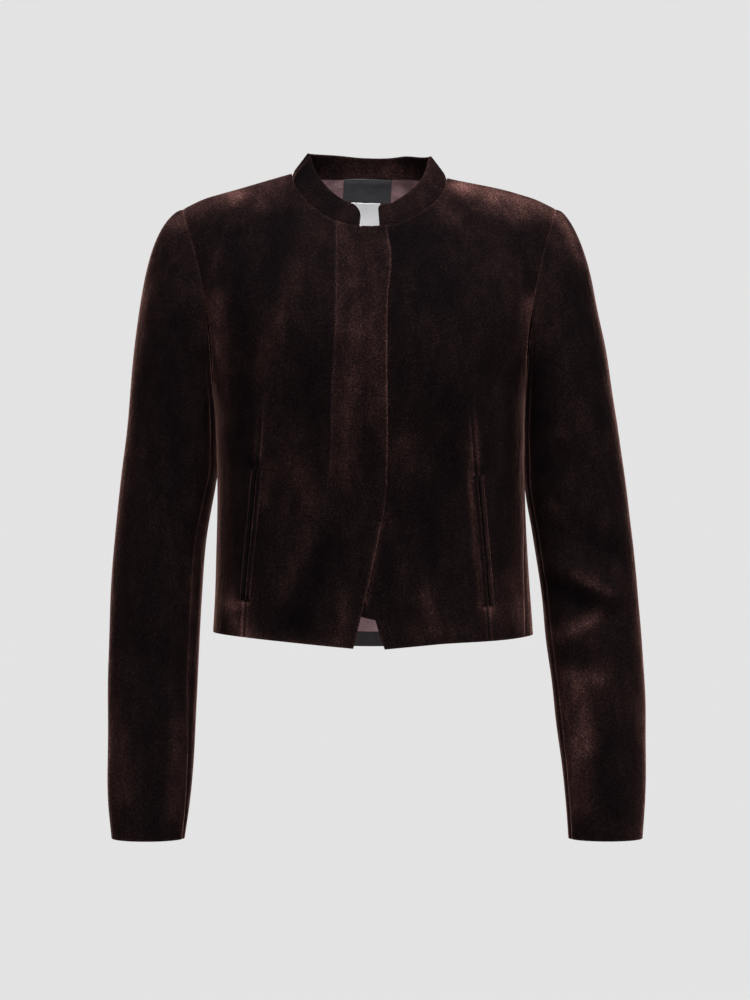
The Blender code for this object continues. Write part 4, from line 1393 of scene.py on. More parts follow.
@dataclass
class Sleeve:
    """A two-piece set-in sleeve, bent a little forward below the elbow."""

    side: Side
    rows: tuple[SleeveRow, ...]
    start_pull: float
    rope: float
    swell_seed: int
    tube_rings: int = 17
    cap_rings: int = 8
    front_seam: float = 8 / 20
    back_seam: float = 13 / 20
    cap_sideways: float = 0.47
    cap_sideways_swing: float = 0.53
    cap_forward_swing: float = 0.30
    cap_drop: float = 0.70
    cap_drop_swing: float = 0.30
    end_pull: float = 1.05
    seam_depth: float = 0.8
    seam_width: float = 3.0
    rope_place: float = 7.0
    rope_width: float = 5.0
    swell_height: float = 0.45
    swell_length: float = 70.0
    swell_fade: tuple[float, float] = (10.0, 60.0)

    def ring(self, z: float, angles: np.ndarray) -> np.ndarray:
        """Lay out one level ring of the tube; angle 0 is outside and 90 in front.

        Args:
            z: Height.
            angles: Angles around the tube.

        Returns:
            The ring's points.
        """
        outer = through(self.rows, "outer", z)
        inner = through(self.rows, "inner", z)
        half_width = (outer - inner) / 2
        mean_radius = through(self.rows, "girth", z) / (2 * math.pi)
        half_depth = math.sqrt(2 * mean_radius ** 2 - half_width ** 2)
        seam = 180.0 - math.degrees(math.acos(1.0 - through(self.rows, "seam", z) / half_width))
        knots = (0.0, angles[round(self.front_seam * len(angles))], 180.0, 360.0)
        turned = np.radians(np.interp(angles, knots, (0.0, seam, 180.0, 360.0)))
        x = self.side.value * ((outer + inner) / 2 + half_width * np.cos(turned))
        y = through(self.rows, "middle", z) - half_depth * np.sin(turned)
        return np.stack([x, y, np.full_like(x, z)], axis=-1)

    @staticmethod
    def shares(ring: np.ndarray) -> np.ndarray:
        """Turn lengths along the armhole into angles around the sleeve.

        Args:
            ring: The armhole seam.

        Returns:
            Angles in degrees.
        """
        steps = np.linalg.norm(np.roll(ring, -1, axis=0) - ring, axis=1)
        half = len(ring) // 2
        front = np.concatenate([[0.0], np.cumsum(steps[:half])]) / steps[:half].sum()
        back = np.concatenate([[0.0], np.cumsum(steps[half:])]) / steps[half:].sum()
        return np.concatenate([180.0 * front, 180.0 + 180.0 * back[1:-1]])

    def start(self, angles: np.ndarray) -> np.ndarray:
        """Find the way the cloth leaves the armhole seam.

        Args:
            angles: Angles around the sleeve.

        Returns:
            Directions.
        """
        cosine, sine = np.cos(np.radians(angles)), np.sin(np.radians(angles))
        sideways = self.side.value * (self.cap_sideways + self.cap_sideways_swing * cosine)
        drop = self.cap_drop_swing * cosine - self.cap_drop
        return unit(np.stack([sideways, -self.cap_forward_swing * sine, drop], axis=-1))

    def normals(self, grid: np.ndarray, start_way: np.ndarray) -> np.ndarray:
        """Find the outward directions of the tube.

        Args:
            grid: Rings of points.
            start_way: The way the cloth leaves the first ring.

        Returns:
            Directions.
        """
        along = np.gradient(grid, axis=0)
        along[0] = start_way
        around = np.roll(grid, -1, axis=1) - np.roll(grid, 1, axis=1)
        return unit(np.cross(along, around)) * -self.side.value

    def whole(self, armhole: np.ndarray) -> Cloth:
        """Lay out the whole sleeve from the armhole to the cuff.

        Args:
            armhole: The armhole seam as a ring from the shoulder point, front first.

        Returns:
            The sleeve as one tube, folded and brushed, with its painted highlights and shade.
        """
        angles = self.shares(armhole)
        way = self.start(angles)
        top_z = self.rows[-1].z
        first = armhole - way * SEAM_LAP
        last = self.ring(top_z, angles)
        reach = np.linalg.norm(last - first, axis=-1, keepdims=True)
        end_way = unit(self.ring(top_z - 1.0, angles) - last)
        steps = self.cap_rings * CAP_SPLIT
        leave, arrive = way * reach * self.start_pull, end_way * reach * self.end_pull
        cap = [hermite(first, leave, last, arrive, step / steps) for step in range(steps)]
        heights = np.linspace(top_z, self.rows[0].z, self.tube_rings * TUBE_SPLIT + 1)
        grid = np.array(cap + [self.ring(height, angles) for height in heights])
        cloth = Cloth.of(grid, self.normals(grid, way), VELVET_WALL).folded(SLEEVE_FOLDS[self.side])
        down = cloth.edge_distance(Edge.FIRST_ROW)
        over = np.clip(np.cos(np.radians(angles)), 0.0, 1.0)
        roped = self.rope * over * bell(down - self.rope_place, self.rope_width)
        fade = smoothstep(*self.swell_fade, down)
        uneven = self.swell_height * fade * swell(grid, self.swell_length, self.swell_seed)
        cloth = cloth.lifted(roped + uneven)
        return replace(cloth, normals=self.normals(cloth.points, way)).brushed_and_lit(SLEEVE_NAP_AND_LIGHT[self.side])

    def pieces(self, armhole: np.ndarray) -> tuple[Cloth, Cloth]:
        """Cut the sleeve into its two pieces.

        Args:
            armhole: The armhole seam.

        Returns:
            The top sleeve and the under sleeve, pressed along their seams.
        """
        whole = self.whole(armhole)
        count = whole.points.shape[1]
        front, back = round(self.front_seam * count), round(self.back_seam * count)
        seams = (Edge.FIRST_COLUMN, Edge.LAST_COLUMN, Edge.FIRST_ROW)
        cut = []
        for start, stop in ((back, count + front), (front, back)):
            columns = np.arange(start, stop + 1) % count
            piece = Cloth(whole.points[:, columns], whole.normals[:, columns],
                          whole.wall[:, columns], whole.nap[:, columns])
            cut.append(piece.seamed(seams, self.seam_depth, self.seam_width))
        return cut[0], cut[1]


RIGHT_SLEEVE_ROWS = (
    SleeveRow(-658.0, 255.6, 183.0, -30.0, 238.0, 1.0),
    SleeveRow(-622.0, 258.8, 178.2, -27.0, 254.0, 2.6),
    SleeveRow(-576.0, 260.4, 174.2, -22.0, 268.0, 4.8),
    SleeveRow(-529.0, 260.6, 172.2, -17.0, 279.0, 7.6),
    SleeveRow(-482.0, 260.0, 170.2, -11.0, 288.0, 8.4),
    SleeveRow(-419.0, 258.4, 167.4, -5.0, 298.0, 8.8),
    SleeveRow(-355.0, 253.7, 162.0, 0.0, 308.0, 8.4),
    SleeveRow(-307.0, 249.0, 154.0, 3.0, 318.0, 6.6),
    SleeveRow(-292.0, 247.4, 151.6, 3.7, 320.0, 6.4),
    SleeveRow(-262.0, 244.0, 151.2, 5.0, 324.0, 6.0),
)
LEFT_SLEEVE_ROWS = (
    SleeveRow(-658.0, 271.8, 197.2, -28.0, 240.0, 1.8),
    SleeveRow(-622.0, 273.0, 195.0, -25.0, 254.0, 2.2),
    SleeveRow(-576.0, 275.0, 190.0, -20.0, 269.0, 3.2),
    SleeveRow(-529.0, 275.0, 184.8, -14.0, 282.0, 3.8),
    SleeveRow(-482.0, 273.2, 178.6, -8.0, 294.0, 4.4),
    SleeveRow(-419.0, 269.0, 171.6, -2.0, 306.0, 4.4),
    SleeveRow(-355.0, 262.8, 162.4, 2.0, 316.0, 4.0),
    SleeveRow(-307.0, 256.4, 155.2, 4.0, 324.0, 4.0),
    SleeveRow(-262.0, 250.0, 153.0, 5.0, 327.0, 5.0),
)


# Strokes of the nap on the collar and of painted highlights and shade, in stops
COLLAR_NAP_AND_LIGHT = marks(
    Facing.FRONT,
    (-68, 10, -34, -30, 13, -1), (36, -26, 66, 4, 12, 0.5),
) + marks(
    Facing.BACK,
    (-40, 12, 40, 10, 13, 1.3), (18, 16, 42, 12, 8, 0.6),
) + marks(
    Facing.OVER,
    # Over both halves: painted shade on the wearer's right side of the band
    (-64, 18, -80, -4, 9, -1.4), (48, 4, 62, 16, 8, 0.6),
)


@dataclass
class Collar:
    """The stand collar: one band with rounded front ends that do not meet."""

    rows: tuple[CollarRow, ...] = (
        CollarRow(0.0, 34.0, 27.0),
        CollarRow(90.0, 40.0, 27.0),
        CollarRow(130.0, 30.0, 24.5),
        CollarRow(180.0, 8.0, 19.5),
        CollarRow(230.0, 30.0, 24.5),
    )
    end_radius: float = 14.0
    left_end_radius: float = 7.0
    middle_y: float = -4.0
    fine_rows: int = 14
    spacing: float = 2.2
    end_steps: tuple[float, ...] = (0.0, 0.12, 0.4, 0.9, 1.6)
    seam_depth: float = 1.2
    seam_width: float = 2.8
    tuck: float = 1.6
    end_slant: float = 0.6
    end_slant_length: float = 16.0
    tilts: tuple[CollarTilt, ...] = (
        CollarTilt(0.0, 0.0),
        CollarTilt(45.0, 0.7),
        CollarTilt(70.0, 0.5),
        CollarTilt(100.0, -1.3),
        CollarTilt(125.0, -0.3),
        CollarTilt(150.0, 1.3),
        CollarTilt(180.0, 0.0),
    )
    swell_height: float = 0.3
    swell_length: float = 45.0
    swell_seed: int = 53

    def base(self, right: FrontPanel, back: BackPanel, left: FrontPanel) -> np.ndarray:
        """Follow the neck seam from the right end round the back to the left end.

        Args:
            right: The right front.
            back: The back.
            left: The left front.

        Returns:
            Points along the seam.
        """
        span = slice(right.collar_column * COLUMN_SPLIT, right.neck_column * COLUMN_SPLIT + 1)
        right_edge = right.plain.points[-1, span]
        left_edge = left.plain.points[-1, span][::-1]
        skip = (back.columns - len(back.neck_places) + 1) * COLUMN_SPLIT
        behind = back.plain.points[-1, skip:back.plain.points.shape[1] - skip]
        joined = np.concatenate([right_edge[:-1], [(right_edge[-1] + behind[0]) / 2], behind[1:-1],
                                 [(left_edge[0] + behind[-1]) / 2], left_edge[1:]])
        run = run_along(joined)
        ends = np.array(self.end_steps)
        count = round((run[-1] - 2 * self.spacing) / self.spacing)
        even = np.linspace(self.spacing, run[-1] - self.spacing, count)
        return points_along(np.concatenate([ends, even, run[-1] - ends[::-1]]), run, joined)

    def cloth(self, base: np.ndarray) -> Cloth:
        """Raise the band from the neck seam.

        Args:
            base: Points along the seam.

        Returns:
            The collar.
        """
        flat = base[:, :2] - np.array([0.0, self.middle_y])
        inward = -unit(flat)
        around = np.degrees(np.arctan2(np.abs(flat[:, 0]), -flat[:, 1]))
        lean = np.radians(through(self.rows, "lean", around))
        rise = np.concatenate([inward * np.sin(lean)[:, None], np.cos(lean)[:, None]], axis=-1)
        run = run_along(base)
        radius = np.where(run < run[-1] / 2, self.end_radius, self.left_end_radius)
        end = np.minimum(np.minimum(run, run[-1] - run), radius)
        rounded = np.sqrt(radius ** 2 - (radius - end) ** 2)
        height = through(self.rows, "height", around) - radius + rounded
        rows = np.linspace(0.0, 1.0, self.fine_rows + 1)[:, None]
        outer = base + rise * (SEAM_GAP + rows * height)[..., None]
        # The left end slants back from the opening, and the left side stands a little crooked
        slant = -self.end_slant * bell(run[-1] - run, self.end_slant_length)
        outer = outer + unit(np.gradient(base, axis=0)) * (rows * slant)[..., None]
        outer[..., 2] -= rows * np.where(base[:, 0] > 0.0, through(self.tilts, "drop", around), 0.0)
        normals = unit(np.cross(np.gradient(outer, axis=0), np.gradient(outer, axis=1)))
        away = np.einsum("rcd,cd->rc", normals[..., :2], -inward)
        normals = normals * np.sign(away)[..., None]
        cloth = Cloth.of(outer, normals, COLLAR_WALL)
        uneven = self.swell_height * swell(outer, self.swell_length, self.swell_seed)
        cloth = cloth.lifted(uneven).pressed(Edge.FIRST_ROW, self.seam_depth, self.seam_width)
        return cloth.extended(Edge.FIRST_ROW, self.tuck).brushed_and_lit(COLLAR_NAP_AND_LIGHT)


@dataclass
class Fly:
    """The concealed fly: a second layer on the right front's edge, with its row of stitches."""

    front: FrontPanel
    end_z: float = -338.0
    thin_length: float = 70.0
    thin_wall: float = 0.5
    end_sink: float = 0.5
    least_step: float = 0.15
    press_depth: float = 0.5
    press_width: float = 2.5
    edge_light_width: float = 8.0
    edge_light_length: float = 60.0
    stitched_edge_light: float = 0.8
    folded_edge_light: float = 0.5
    brush_uneven: float = 0.4
    edge_light_seed: int = 71
    stitch_pitch: float = 3.2
    stitch_length: float = 2.3
    stitch_radius: float = 0.28
    stitch_away: float = 0.9
    stitch_sides: int = 6
    stitch_lift: float = 0.6
    stitch_rows_free: int = 3
    # A stitch from end to end: shares of its length, and thickness and dip in shares of its radius
    stitch_steps: tuple[float, ...] = (0.0, 0.12, 0.5, 0.88, 1.0)
    stitch_sizes: tuple[float, ...] = (0.35, 0.85, 1.0, 0.85, 0.35)
    stitch_dips: tuple[float, ...] = (-1.0, -0.2, 0.0, -0.2, -1.0)

    def cloth(self) -> Cloth:
        """Raise the fly's layer from the front.

        Returns:
            The layer, thinner towards its lower end.
        """
        base = self.front.cloth
        column = self.front.fly_column * COLUMN_SPLIT
        edge_z = base.points[:, column, 2]
        first = float(np.interp(self.end_z, edge_z, np.arange(len(edge_z))))
        rows = np.concatenate([[first], np.arange(math.ceil(first + self.least_step), len(edge_z))])
        seat = base.cropped(rows, np.arange(column + 1.0))
        full = smoothstep(self.end_z, self.end_z + self.thin_length, seat.points[..., 2])
        wall = self.thin_wall + (PLACKET_WALL - self.thin_wall) * full
        layer = replace(seat.lifted((SEAM_GAP + wall) * full - self.end_sink * (1.0 - full)), wall=wall)
        layer = layer.pressed(Edge.LAST_COLUMN, self.press_depth, self.press_width)
        # Both edges are brushed lighter, with painted highlights along them, fading out where the layer
        # thins
        stitched = self.stitched_edge_light * bell(layer.edge_distance(Edge.LAST_COLUMN), self.edge_light_width)
        folded = self.folded_edge_light * bell(layer.edge_distance(Edge.FIRST_COLUMN), self.edge_light_width)
        uneven = 1.0 + self.brush_uneven * swell(layer.points, self.edge_light_length, self.edge_light_seed)
        return replace(layer, nap=layer.nap + full * uneven * (stitched + folded))

    def stitches(self, thread: bpy.types.Material) -> bpy.types.Object:
        """Lay single stitches in the ditch along the fly's stitched side.

        Args:
            thread: The thread's finish.

        Returns:
            The row of stitches as one piece.
        """
        base = self.front.cloth
        column = self.front.fly_column * COLUMN_SPLIT
        line, out = base.points[:, column], base.normals[:, column]
        step = unit(base.points[:, column + 1] - line)
        line = line + step * self.stitch_away + out * (self.stitch_radius * self.stitch_lift)
        used = slice(int(np.searchsorted(line[:, 2], self.end_z)), len(line) - self.stitch_rows_free)
        line, step, out = line[used], step[used], out[used]
        run = run_along(line)
        sizes = self.stitch_radius * np.array(self.stitch_sizes)[:, None]
        dips = self.stitch_radius * np.array(self.stitch_dips)[:, None]
        sides, last = self.stitch_sides, len(self.stitch_steps) - 1
        around = [2 * math.pi * side / sides for side in range(sides)]
        corners, faces = [], []
        for count, start in enumerate(np.arange(0.0, run[-1] - self.stitch_length, self.stitch_pitch)):
            places = start + self.stitch_length * np.array(self.stitch_steps)
            over, up = points_along(places, run, step), points_along(places, run, out)
            middle = points_along(places, run, line) + up * dips
            rings = [middle + sizes * (over * math.cos(turn) + up * math.sin(turn)) for turn in around]
            corners.append(np.stack(rings, axis=1).reshape(-1, 3))
            at = count * sides * (last + 1) + np.arange(sides * (last + 1)).reshape(-1, sides)
            beside = np.roll(at, -1, axis=1)
            walls = np.stack([at[:-1], beside[:-1], beside[1:], at[1:]], axis=-1)
            faces += walls.reshape(-1, 4).tolist() + [at[0, ::-1].tolist(), at[last].tolist()]
        mesh = bpy.data.meshes.new("fly_stitches")
        mesh.from_pydata((np.concatenate(corners) * MM).tolist(), [], faces)
        mesh.shade_smooth()
        mesh.materials.append(thread)
        return link("fly_stitches", mesh)


class PocketCut(NamedTuple):
    """The slit of a pocket, and the width of its jets."""

    top_z: float
    bottom_z: float
    width: float


@dataclass
class PocketJet:
    """One of the two jets of a slanted pocket, a folded strip along the slit."""

    front: FrontPanel
    toward: int
    pocket: PocketCut
    slit: float = 1.0
    heights: tuple[float, ...] = (0.9, 2.1, 2.1, 0.9)
    shares: tuple[float, ...] = (0.0, 0.28, 0.72, 1.0)
    end_share: float = 0.45
    end_length: float = 6.0
    fine_columns: int = 12
    row_split: int = 2
    stops: float = -0.5
    lit_stops: float = 1.1

    @property
    def brushed_and_lit(self) -> float:
        """Stops along the jet's crown: darker on most jets, and a painted highlight on the left side jet,
        which turns up to the light.
        """
        return self.lit_stops if self.front.side is Side.LEFT and self.toward > 0 else self.stops

    def cloth(self) -> Cloth:
        """Raise the jet from the front's plain face.

        Returns:
            The jet, crowned across and lower at its ends.
        """
        base = self.front.plain
        dart = self.front.dart_column * COLUMN_SPLIT
        line_z = base.points[:, dart, 2]
        count = np.arange(len(line_z))
        first = float(np.interp(self.pocket.bottom_z, line_z, count))
        last = float(np.interp(self.pocket.top_z, line_z, count))
        rows = np.linspace(first, last, round(last - first) * self.row_split + 1)
        spacing = np.linalg.norm(base.points[:, dart + self.toward] - base.points[:, dart], axis=1)
        across = np.linspace(0.0, 1.0, self.fine_columns + 1)
        reach = self.slit / 2 + self.pocket.width * across[None, :]
        columns = dart + self.toward * reach / np.interp(rows, count, spacing)[:, None]
        seat = base.read(np.repeat(rows[:, None], len(across), axis=1), columns)
        end = np.minimum(seat.edge_distance(Edge.FIRST_ROW), seat.edge_distance(Edge.LAST_ROW))
        low = self.end_share + (1.0 - self.end_share) * smoothstep(0.0, self.end_length, end)
        crown = np.interp(across, self.shares, self.heights)
        wall = crown[None, :] * low
        jet = replace(seat.lifted(SEAM_GAP + wall), wall=wall)
        # The crown's stops are laid on the nap, with the painted highlight on the left side jet
        return replace(jet, nap=jet.nap + self.brushed_and_lit * np.sin(math.pi * across)[None, :])


@dataclass(frozen=True)
class Label:
    """A label on the lining at the centre back of the neck."""

    left_x: float
    right_x: float
    top_z: float
    bottom_z: float
    tilt: float
    rows: int = 24
    columns: int = 30

    def cloth(self, lining: Cloth, form: BodyForm) -> Cloth:
        """Lay the label on the lining's inner face.

        Args:
            lining: The lining.
            form: The body's form, for the row at the underarm.

        Returns:
            The label.
        """
        inner = lining.lifted(-LINING_WALL)
        middle = inner.points.shape[1] // 2
        upper = np.arange(form.base_row, inner.points.shape[0])
        x, z = np.meshgrid(np.linspace(self.left_x, self.right_x, self.columns + 1),
                           np.linspace(self.bottom_z, self.top_z, self.rows + 1))
        turn = math.radians(self.tilt)
        from_x, from_z = x - x.mean(), z - z.mean()
        x = x.mean() + from_x * math.cos(turn) - from_z * math.sin(turn)
        z = z.mean() + from_x * math.sin(turn) + from_z * math.cos(turn)
        rows = np.interp(z, inner.points[upper, middle, 2], upper)
        nearest = np.round(rows[:, self.columns // 2]).astype(int)
        level = inner.points[np.clip(nearest, 0, len(inner.points) - 1), :, 0]
        columns = np.array([np.interp(row_x, row, np.arange(len(row))) for row_x, row in zip(x, level)])
        return replace(inner.read(rows, columns).lifted(-SEAM_GAP), wall=np.full(rows.shape, LABEL_WALL))


# Painted highlights along each piece's edges, and painted shade at the jets' ends, in stops
FRONT_GLINTS = {Edge.FIRST_COLUMN: 1.8, Edge.LAST_COLUMN: 2.2, Edge.FIRST_ROW: 1.8, Edge.LAST_ROW: 2.2}
BACK_GLINTS = dict.fromkeys(Edge, 1.2)
FLY_GLINTS = {Edge.FIRST_COLUMN: 2.0, Edge.LAST_COLUMN: 1.2, Edge.LAST_ROW: 1.2}
COLLAR_GLINTS = {Edge.FIRST_ROW: 1.6, Edge.LAST_ROW: 1.0, Edge.FIRST_COLUMN: 1.0, Edge.LAST_COLUMN: 1.0}
SLEEVE_GLINTS = dict.fromkeys(Edge, 1.8)
JET_EDGE_LIGHT_AND_SHADE = {Edge.LAST_COLUMN: 2.0, Edge.FIRST_ROW: -1.0, Edge.LAST_ROW: -1.2}

# The two jets of a pocket: the way each lies from the slit, and its edge there, with a painted highlight on
# the front jet and the slit's painted shadow on the side jet
JETS = {"front": (-1, 1.0), "side": (1, -2.0)}


@dataclass
class Jacket:
    """The whole jacket, piece by piece."""

    form: BodyForm = field(default_factory=BodyForm)
    sleeves: tuple[Sleeve, ...] = (
        Sleeve(Side.RIGHT, RIGHT_SLEEVE_ROWS, start_pull=0.62, rope=0.1, swell_seed=41),
        Sleeve(Side.LEFT, LEFT_SLEEVE_ROWS, start_pull=0.45, rope=0.2, swell_seed=37),
    )
    pockets: dict[Side, PocketCut] = field(default_factory=lambda: {
        Side.RIGHT: PocketCut(-292.0, -421.0, 6.2), Side.LEFT: PocketCut(-298.0, -426.0, 6.4)})
    neck_label: Label = Label(left_x=-26.5, right_x=22.0, top_z=3.4, bottom_z=-18.6, tilt=-3.2)
    care_label: Label = Label(left_x=-19.0, right_x=10.4, top_z=-19.0, bottom_z=-64.0, tilt=-1.0)
    collar_sheen: float = 0.1
    lining_fold: float = 0.7
    lining_fold_length: float = 26.0
    lining_fold_most: float = 1.6
    lining_fold_fade: tuple[float, float] = (0.0, 8.0)
    lining_fold_seed: int = 67
    lining_stretch: tuple[float, float, float] = (1.0, 1.0, 0.35)
    lining_tuck: float = 1.5
    lining_tuck_width: float = 3.0
    made: list[str] = field(default_factory=list)

    def join(self, piece: bpy.types.Object, node: str | None = None) -> None:
        """Let a piece ride on the body with its finish, and report it.

        Args:
            piece: The piece.
            node: The solid it stands for, if there is one.
        """
        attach(piece, BODY)
        if node:
            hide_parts(node)
        self.made.append(piece.name)
        LOG.info("%s: %d faces", piece.name, len(piece.data.polygons))

    def place(self, name: str, node: str, slot: str, cloth: Cloth,
              finish: tuple[bpy.types.Material, ...],
              edge_light_and_shade: dict[Edge, float] | None = None) -> bpy.types.Object:
        """Sew one piece and put it in the place of its solid.

        Args:
            name: The piece's name.
            node: The solid it stands for.
            slot: The record's material slot; not used.
            cloth: The cloth.
            finish: Finishes of the outer and the inner face, or of both.
            edge_light_and_shade: Painted highlights along the edges, and painted shade where below zero, in
                stops.

        Returns:
            The piece.
        """
        piece = sew(name, cloth, finish[0], finish[-1], edge_light_and_shade or {})
        self.join(piece, node)
        return piece

    def cut(self, piece: bpy.types.Object, cloth: Cloth, held: Held, rests_on: Sequence[str],
            sewn_on: Sequence[bpy.types.Object] = ()) -> None:
        """Do nothing with a sheet: its flat cut is not stated here.

        Args:
            piece: The sheet; not used.
            cloth: Its cloth; not used.
            held: How it is held; not used.
            rests_on: What it hangs from or lies on; not used.
            sewn_on: Narrow pieces that are sewn on it; not used.
        """

    def armhole(self, front: FrontPanel, back: BackPanel, side: Side) -> np.ndarray:
        """Join the panels' edges to the armhole seam.

        Args:
            front: The front on that side.
            back: The back.
            side: The wearer's side.

        Returns:
            A ring from the shoulder point: front, underarm, back.
        """
        base = self.form.base_row
        ahead = front.plain.points[base:, -1]
        behind = back.plain.points[base:, 0 if side is Side.RIGHT else -1]
        top = (ahead[-1] + behind[-1]) / 2
        under = (ahead[0] + behind[0]) / 2
        return np.concatenate([[top], ahead[-2:0:-1], [under], behind[1:-1]])

    def build(self) -> None:
        """Make every piece in order, outer shell first."""
        pile = (CottonVelvet().make(), VELVET_GROUND.make())
        pressed = CottonVelvet(name="cotton_velvet_pressed", sheen=self.collar_sheen).make()
        fronts = {side: FrontPanel(self.form, side) for side in Side}
        back = BackPanel(self.form)
        fly = Fly(fronts[Side.RIGHT])
        stitches = fly.stitches(SEWING_THREAD.make())
        self.join(stitches)
        for side, front in fronts.items():
            sewn = [stitches] if side is Side.RIGHT else []
            for word, (toward, slit_light_and_shade) in JETS.items():
                jet = PocketJet(front, toward, self.pockets[side]).cloth()
                sewn.append(self.place(
                    f"velvet_jet_{side.word}_{word}", f"pocket_{side.word}_{word}_welt", "velvet",
                    jet, pile[:1], {**JET_EDGE_LIGHT_AND_SHADE, Edge.FIRST_COLUMN: slit_light_and_shade}))
            piece = self.place(f"velvet_front_{side.word}", f"front_{side.word}", "velvet",
                               front.cloth, pile, FRONT_GLINTS)
            self.cut(piece, front.cloth, Held.HUNG, ["collar", "back"], sewn)
        piece = self.place("velvet_back", "back", "velvet", back.cloth, pile, BACK_GLINTS)
        self.cut(piece, back.cloth, Held.HUNG, ["collar"])
        layer = fly.cloth()
        piece = self.place("velvet_fly", "fly_placket", "velvet", layer, pile[:1], FLY_GLINTS)
        self.cut(piece, layer, Held.LAID, ["velvet_front_right"])
        collar = Collar()
        band = collar.cloth(collar.base(fronts[Side.RIGHT], back, fronts[Side.LEFT]))
        piece = self.place("velvet_collar", "collar", "velvet", band, (pressed,), COLLAR_GLINTS)
        self.cut(piece, band, Held.STRETCHED, ["velvet_back"])
        for sleeve in self.sleeves:
            word = sleeve.side.word
            halves = sleeve.pieces(self.armhole(fronts[sleeve.side], back, sleeve.side))
            for node, cloth in zip((f"sleeve_{word}_top", f"sleeve_{word}_under"), halves):
                piece = self.place(f"velvet_{node}", node, "velvet", cloth, pile, SLEEVE_GLINTS)
                self.cut(piece, cloth, Held.HUNG, [f"velvet_front_{word}", "velvet_back"])
        self.line(back)

    def line(self, back: BackPanel) -> None:
        """Line the back and sew in its hem facing and its labels.

        Args:
            back: The dressed back.
        """
        satin, twill = VISCOSE_SATIN.make(), HEM_TWILL.make()
        rows, columns = back.cloth.points.shape[:2]
        inside = np.arange(COLUMN_SPLIT, columns - COLUMN_SPLIT, dtype=float)
        lined = back.cloth.lifted(-VELVET_WALL - SEAM_GAP)
        whole = replace(lined, wall=np.full((rows, columns), LINING_WALL))
        lining = self.rippled(whole.cropped(np.arange(LOWER_SPLIT, rows, dtype=float), inside))
        piece = self.place("satin_back_lining", "back_lining", "lining_satin", lining, (satin,))
        self.cut(piece, lining, Held.HUNG, ["velvet_back"])
        facing = replace(lined, wall=np.full((rows, columns), FACING_WALL))
        facing = facing.cropped(np.arange(0, LOWER_SPLIT + 1, dtype=float), inside)
        piece = self.place("twill_hem_facing", "back_hem_facing", "hem_cloth", facing, (twill,))
        self.cut(piece, facing, Held.LAID, ["velvet_back"])
        # The lining lacks the facing's rows, so the form's rows are counted without them
        trimmed = replace(self.form, lower_rows=self.form.lower_rows[1:])
        for name, node, slot, label, finish in (
                ("damask_neck_label", "neck_label", "label_black", self.neck_label, DAMASK_LABEL),
                ("satin_care_label", "care_label", "label_white", self.care_label, SATIN_LABEL)):
            cloth = label.cloth(lining, trimmed)
            piece = self.place(name, node, slot, cloth, (finish.make(),))
            self.cut(piece, cloth, Held.LAID, ["satin_back_lining"])

    def rippled(self, lining: Cloth) -> Cloth:
        """Let the lining hang in loose ripples, tucked under at the neck.

        Args:
            lining: The smooth lining.

        Returns:
            The rippled lining.
        """
        lining.points[0, :, 2] += SEAM_GAP
        away = np.minimum.reduce([lining.edge_distance(edge) for edge in Edge])
        ripple = swell(lining.points * self.lining_stretch, self.lining_fold_length, self.lining_fold_seed)
        sunk = self.lining_fold * np.clip(0.5 + 0.5 * ripple, 0.0, self.lining_fold_most)
        tuck = self.lining_tuck * bell(lining.edge_distance(Edge.LAST_ROW), self.lining_tuck_width)
        lifted = lining.lifted(tuck - sunk * smoothstep(*self.lining_fold_fade, away))
        return lifted.extended(Edge.LAST_ROW, self.lining_tuck)


class LampRow(NamedTuple):
    """One soft lamp: where it hangs, what it looks at, its sides in metres and its power."""

    name: str
    place: tuple[float, float, float]
    target: tuple[float, float, float]
    width: float
    height: float
    power: float


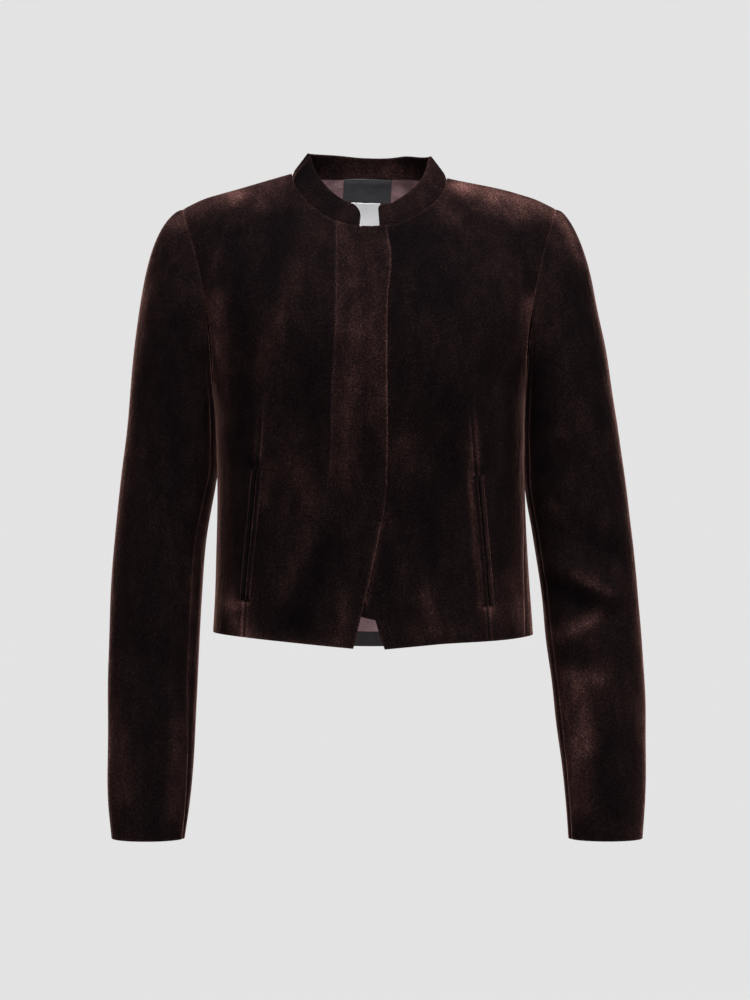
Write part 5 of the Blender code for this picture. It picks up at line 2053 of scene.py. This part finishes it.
@dataclass
class Studio:
    """A pale round cyclorama, soft lamps and the camera, all in metres."""

    camera_place: tuple[float, float, float] = (0.0055, -4.0, -0.322)
    picture_height: float = 1.0
    sensor: float = 36.0
    floor_z: float = -1.40
    floor_radius: float = 5.6
    sweep: float = 1.6
    wall_top: float = 4.5
    floor_rings: tuple[float, ...] = (0.0, 1.5, 3.5)
    floor_sides: int = 96
    sweep_steps: int = 12
    far: float = 60.0
    tone: str = "#e3e3e3"
    paint: str = "#2a2a2a"
    glow: float = 0.972
    lamps: tuple[LampRow, ...] = (
        LampRow("lamp_over", (0.25, -0.7, 2.3), (0.0, 0.0, -0.2), 1.6, 1.2, 150.0),
        LampRow("lamp_front", (0.6, -3.2, 1.5), (0.0, 0.0, -0.3), 2.0, 1.6, 140.0),
        LampRow("lamp_back", (-0.7, 3.0, 1.7), (0.0, 0.0, -0.3), 1.8, 1.4, 80.0),
        LampRow("lamp_right", (-2.3, 0.2, 0.2), (-0.2, 0.0, -0.35), 0.8, 2.2, 14.0),
        LampRow("lamp_left", (2.3, 0.1, 0.2), (0.2, 0.0, -0.35), 0.8, 2.2, 22.0),
    )

    def build(self) -> None:
        """Set up the floor, the lamps, the light around and the camera."""
        self.lay_floor()
        for lamp in self.lamps:
            self.hang(lamp)
        scene = bpy.context.scene
        world = bpy.data.worlds.new("studio")
        world.use_nodes = True
        set_values(world.node_tree.nodes["Background"], {"Color": linear(self.tone), "Strength": 1.0})
        scene.world = world
        scene.view_settings.view_transform = "Standard"
        lens = bpy.data.cameras.new("camera")
        lens.sensor_width = self.sensor
        lens.lens = self.sensor * abs(self.camera_place[1]) / self.picture_height
        lens.clip_end = self.far
        camera = link("camera", lens)
        camera.location = self.camera_place
        camera.rotation_euler = (math.pi / 2, 0.0, 0.0)
        scene.camera = camera

    def lay_floor(self) -> None:
        """Turn the floor and its swept-up wall round the middle."""
        bend = np.linspace(0.0, math.pi / 2, self.sweep_steps + 1)
        wall = self.floor_radius + self.sweep * np.sin(bend)
        rise = self.sweep * (1.0 - np.cos(bend))
        radius = np.concatenate([self.floor_rings, wall, [self.floor_radius + self.sweep]])
        height = np.concatenate([np.zeros(len(self.floor_rings)), rise, [self.wall_top - self.floor_z]])
        sides = self.floor_sides
        around = np.linspace(0.0, 2 * math.pi, sides + 1)[:-1]
        corners = [(r * math.cos(turn), r * math.sin(turn), self.floor_z + h)
                   for r, h in zip(radius, height) for turn in around]
        at = np.arange(len(radius) * sides).reshape(-1, sides)
        beside = np.roll(at, -1, axis=1)
        faces = np.stack([at[:-1], beside[:-1], beside[1:], at[1:]], axis=-1).reshape(-1, 4)
        mesh = bpy.data.meshes.new("studio_floor")
        mesh.from_pydata(corners, [], faces.tolist())
        mesh.shade_smooth()
        material, _, shader = new_material("painted_cyclorama")
        set_values(shader, {
            "Base Color": linear(self.paint), "Roughness": 0.95, "Specular IOR Level": 0.0,
            "Emission Color": linear(self.tone), "Emission Strength": self.glow})
        mesh.materials.append(material)
        link("studio_floor", mesh)

    def hang(self, row: LampRow) -> None:
        """Hang one soft lamp.

        Args:
            row: The lamp's place, aim, size and power.
        """
        light = bpy.data.lights.new(row.name, "AREA")
        light.shape = "RECTANGLE"
        light.size, light.size_y = row.width, row.height
        light.energy = row.power
        lamp = link(row.name, light)
        way = np.array(row.target) - np.array(row.place)
        lamp.location = row.place
        flat = math.hypot(way[0], way[1])
        lamp.rotation_euler = (math.atan2(flat, -way[2]), 0.0, math.atan2(-way[0], way[1]))
        lamp.visible_camera = False


def main() -> None:
    """Build the jacket and its studio, and log how many pieces were made."""
    logging.basicConfig(level=logging.INFO, format="%(message)s", force=True)
    jacket = Jacket()
    jacket.build()
    Studio().build()
    bpy.context.view_layer.update()
    LOG.info("%d pieces", len(jacket.made))


if __name__ == "__main__":
    main()
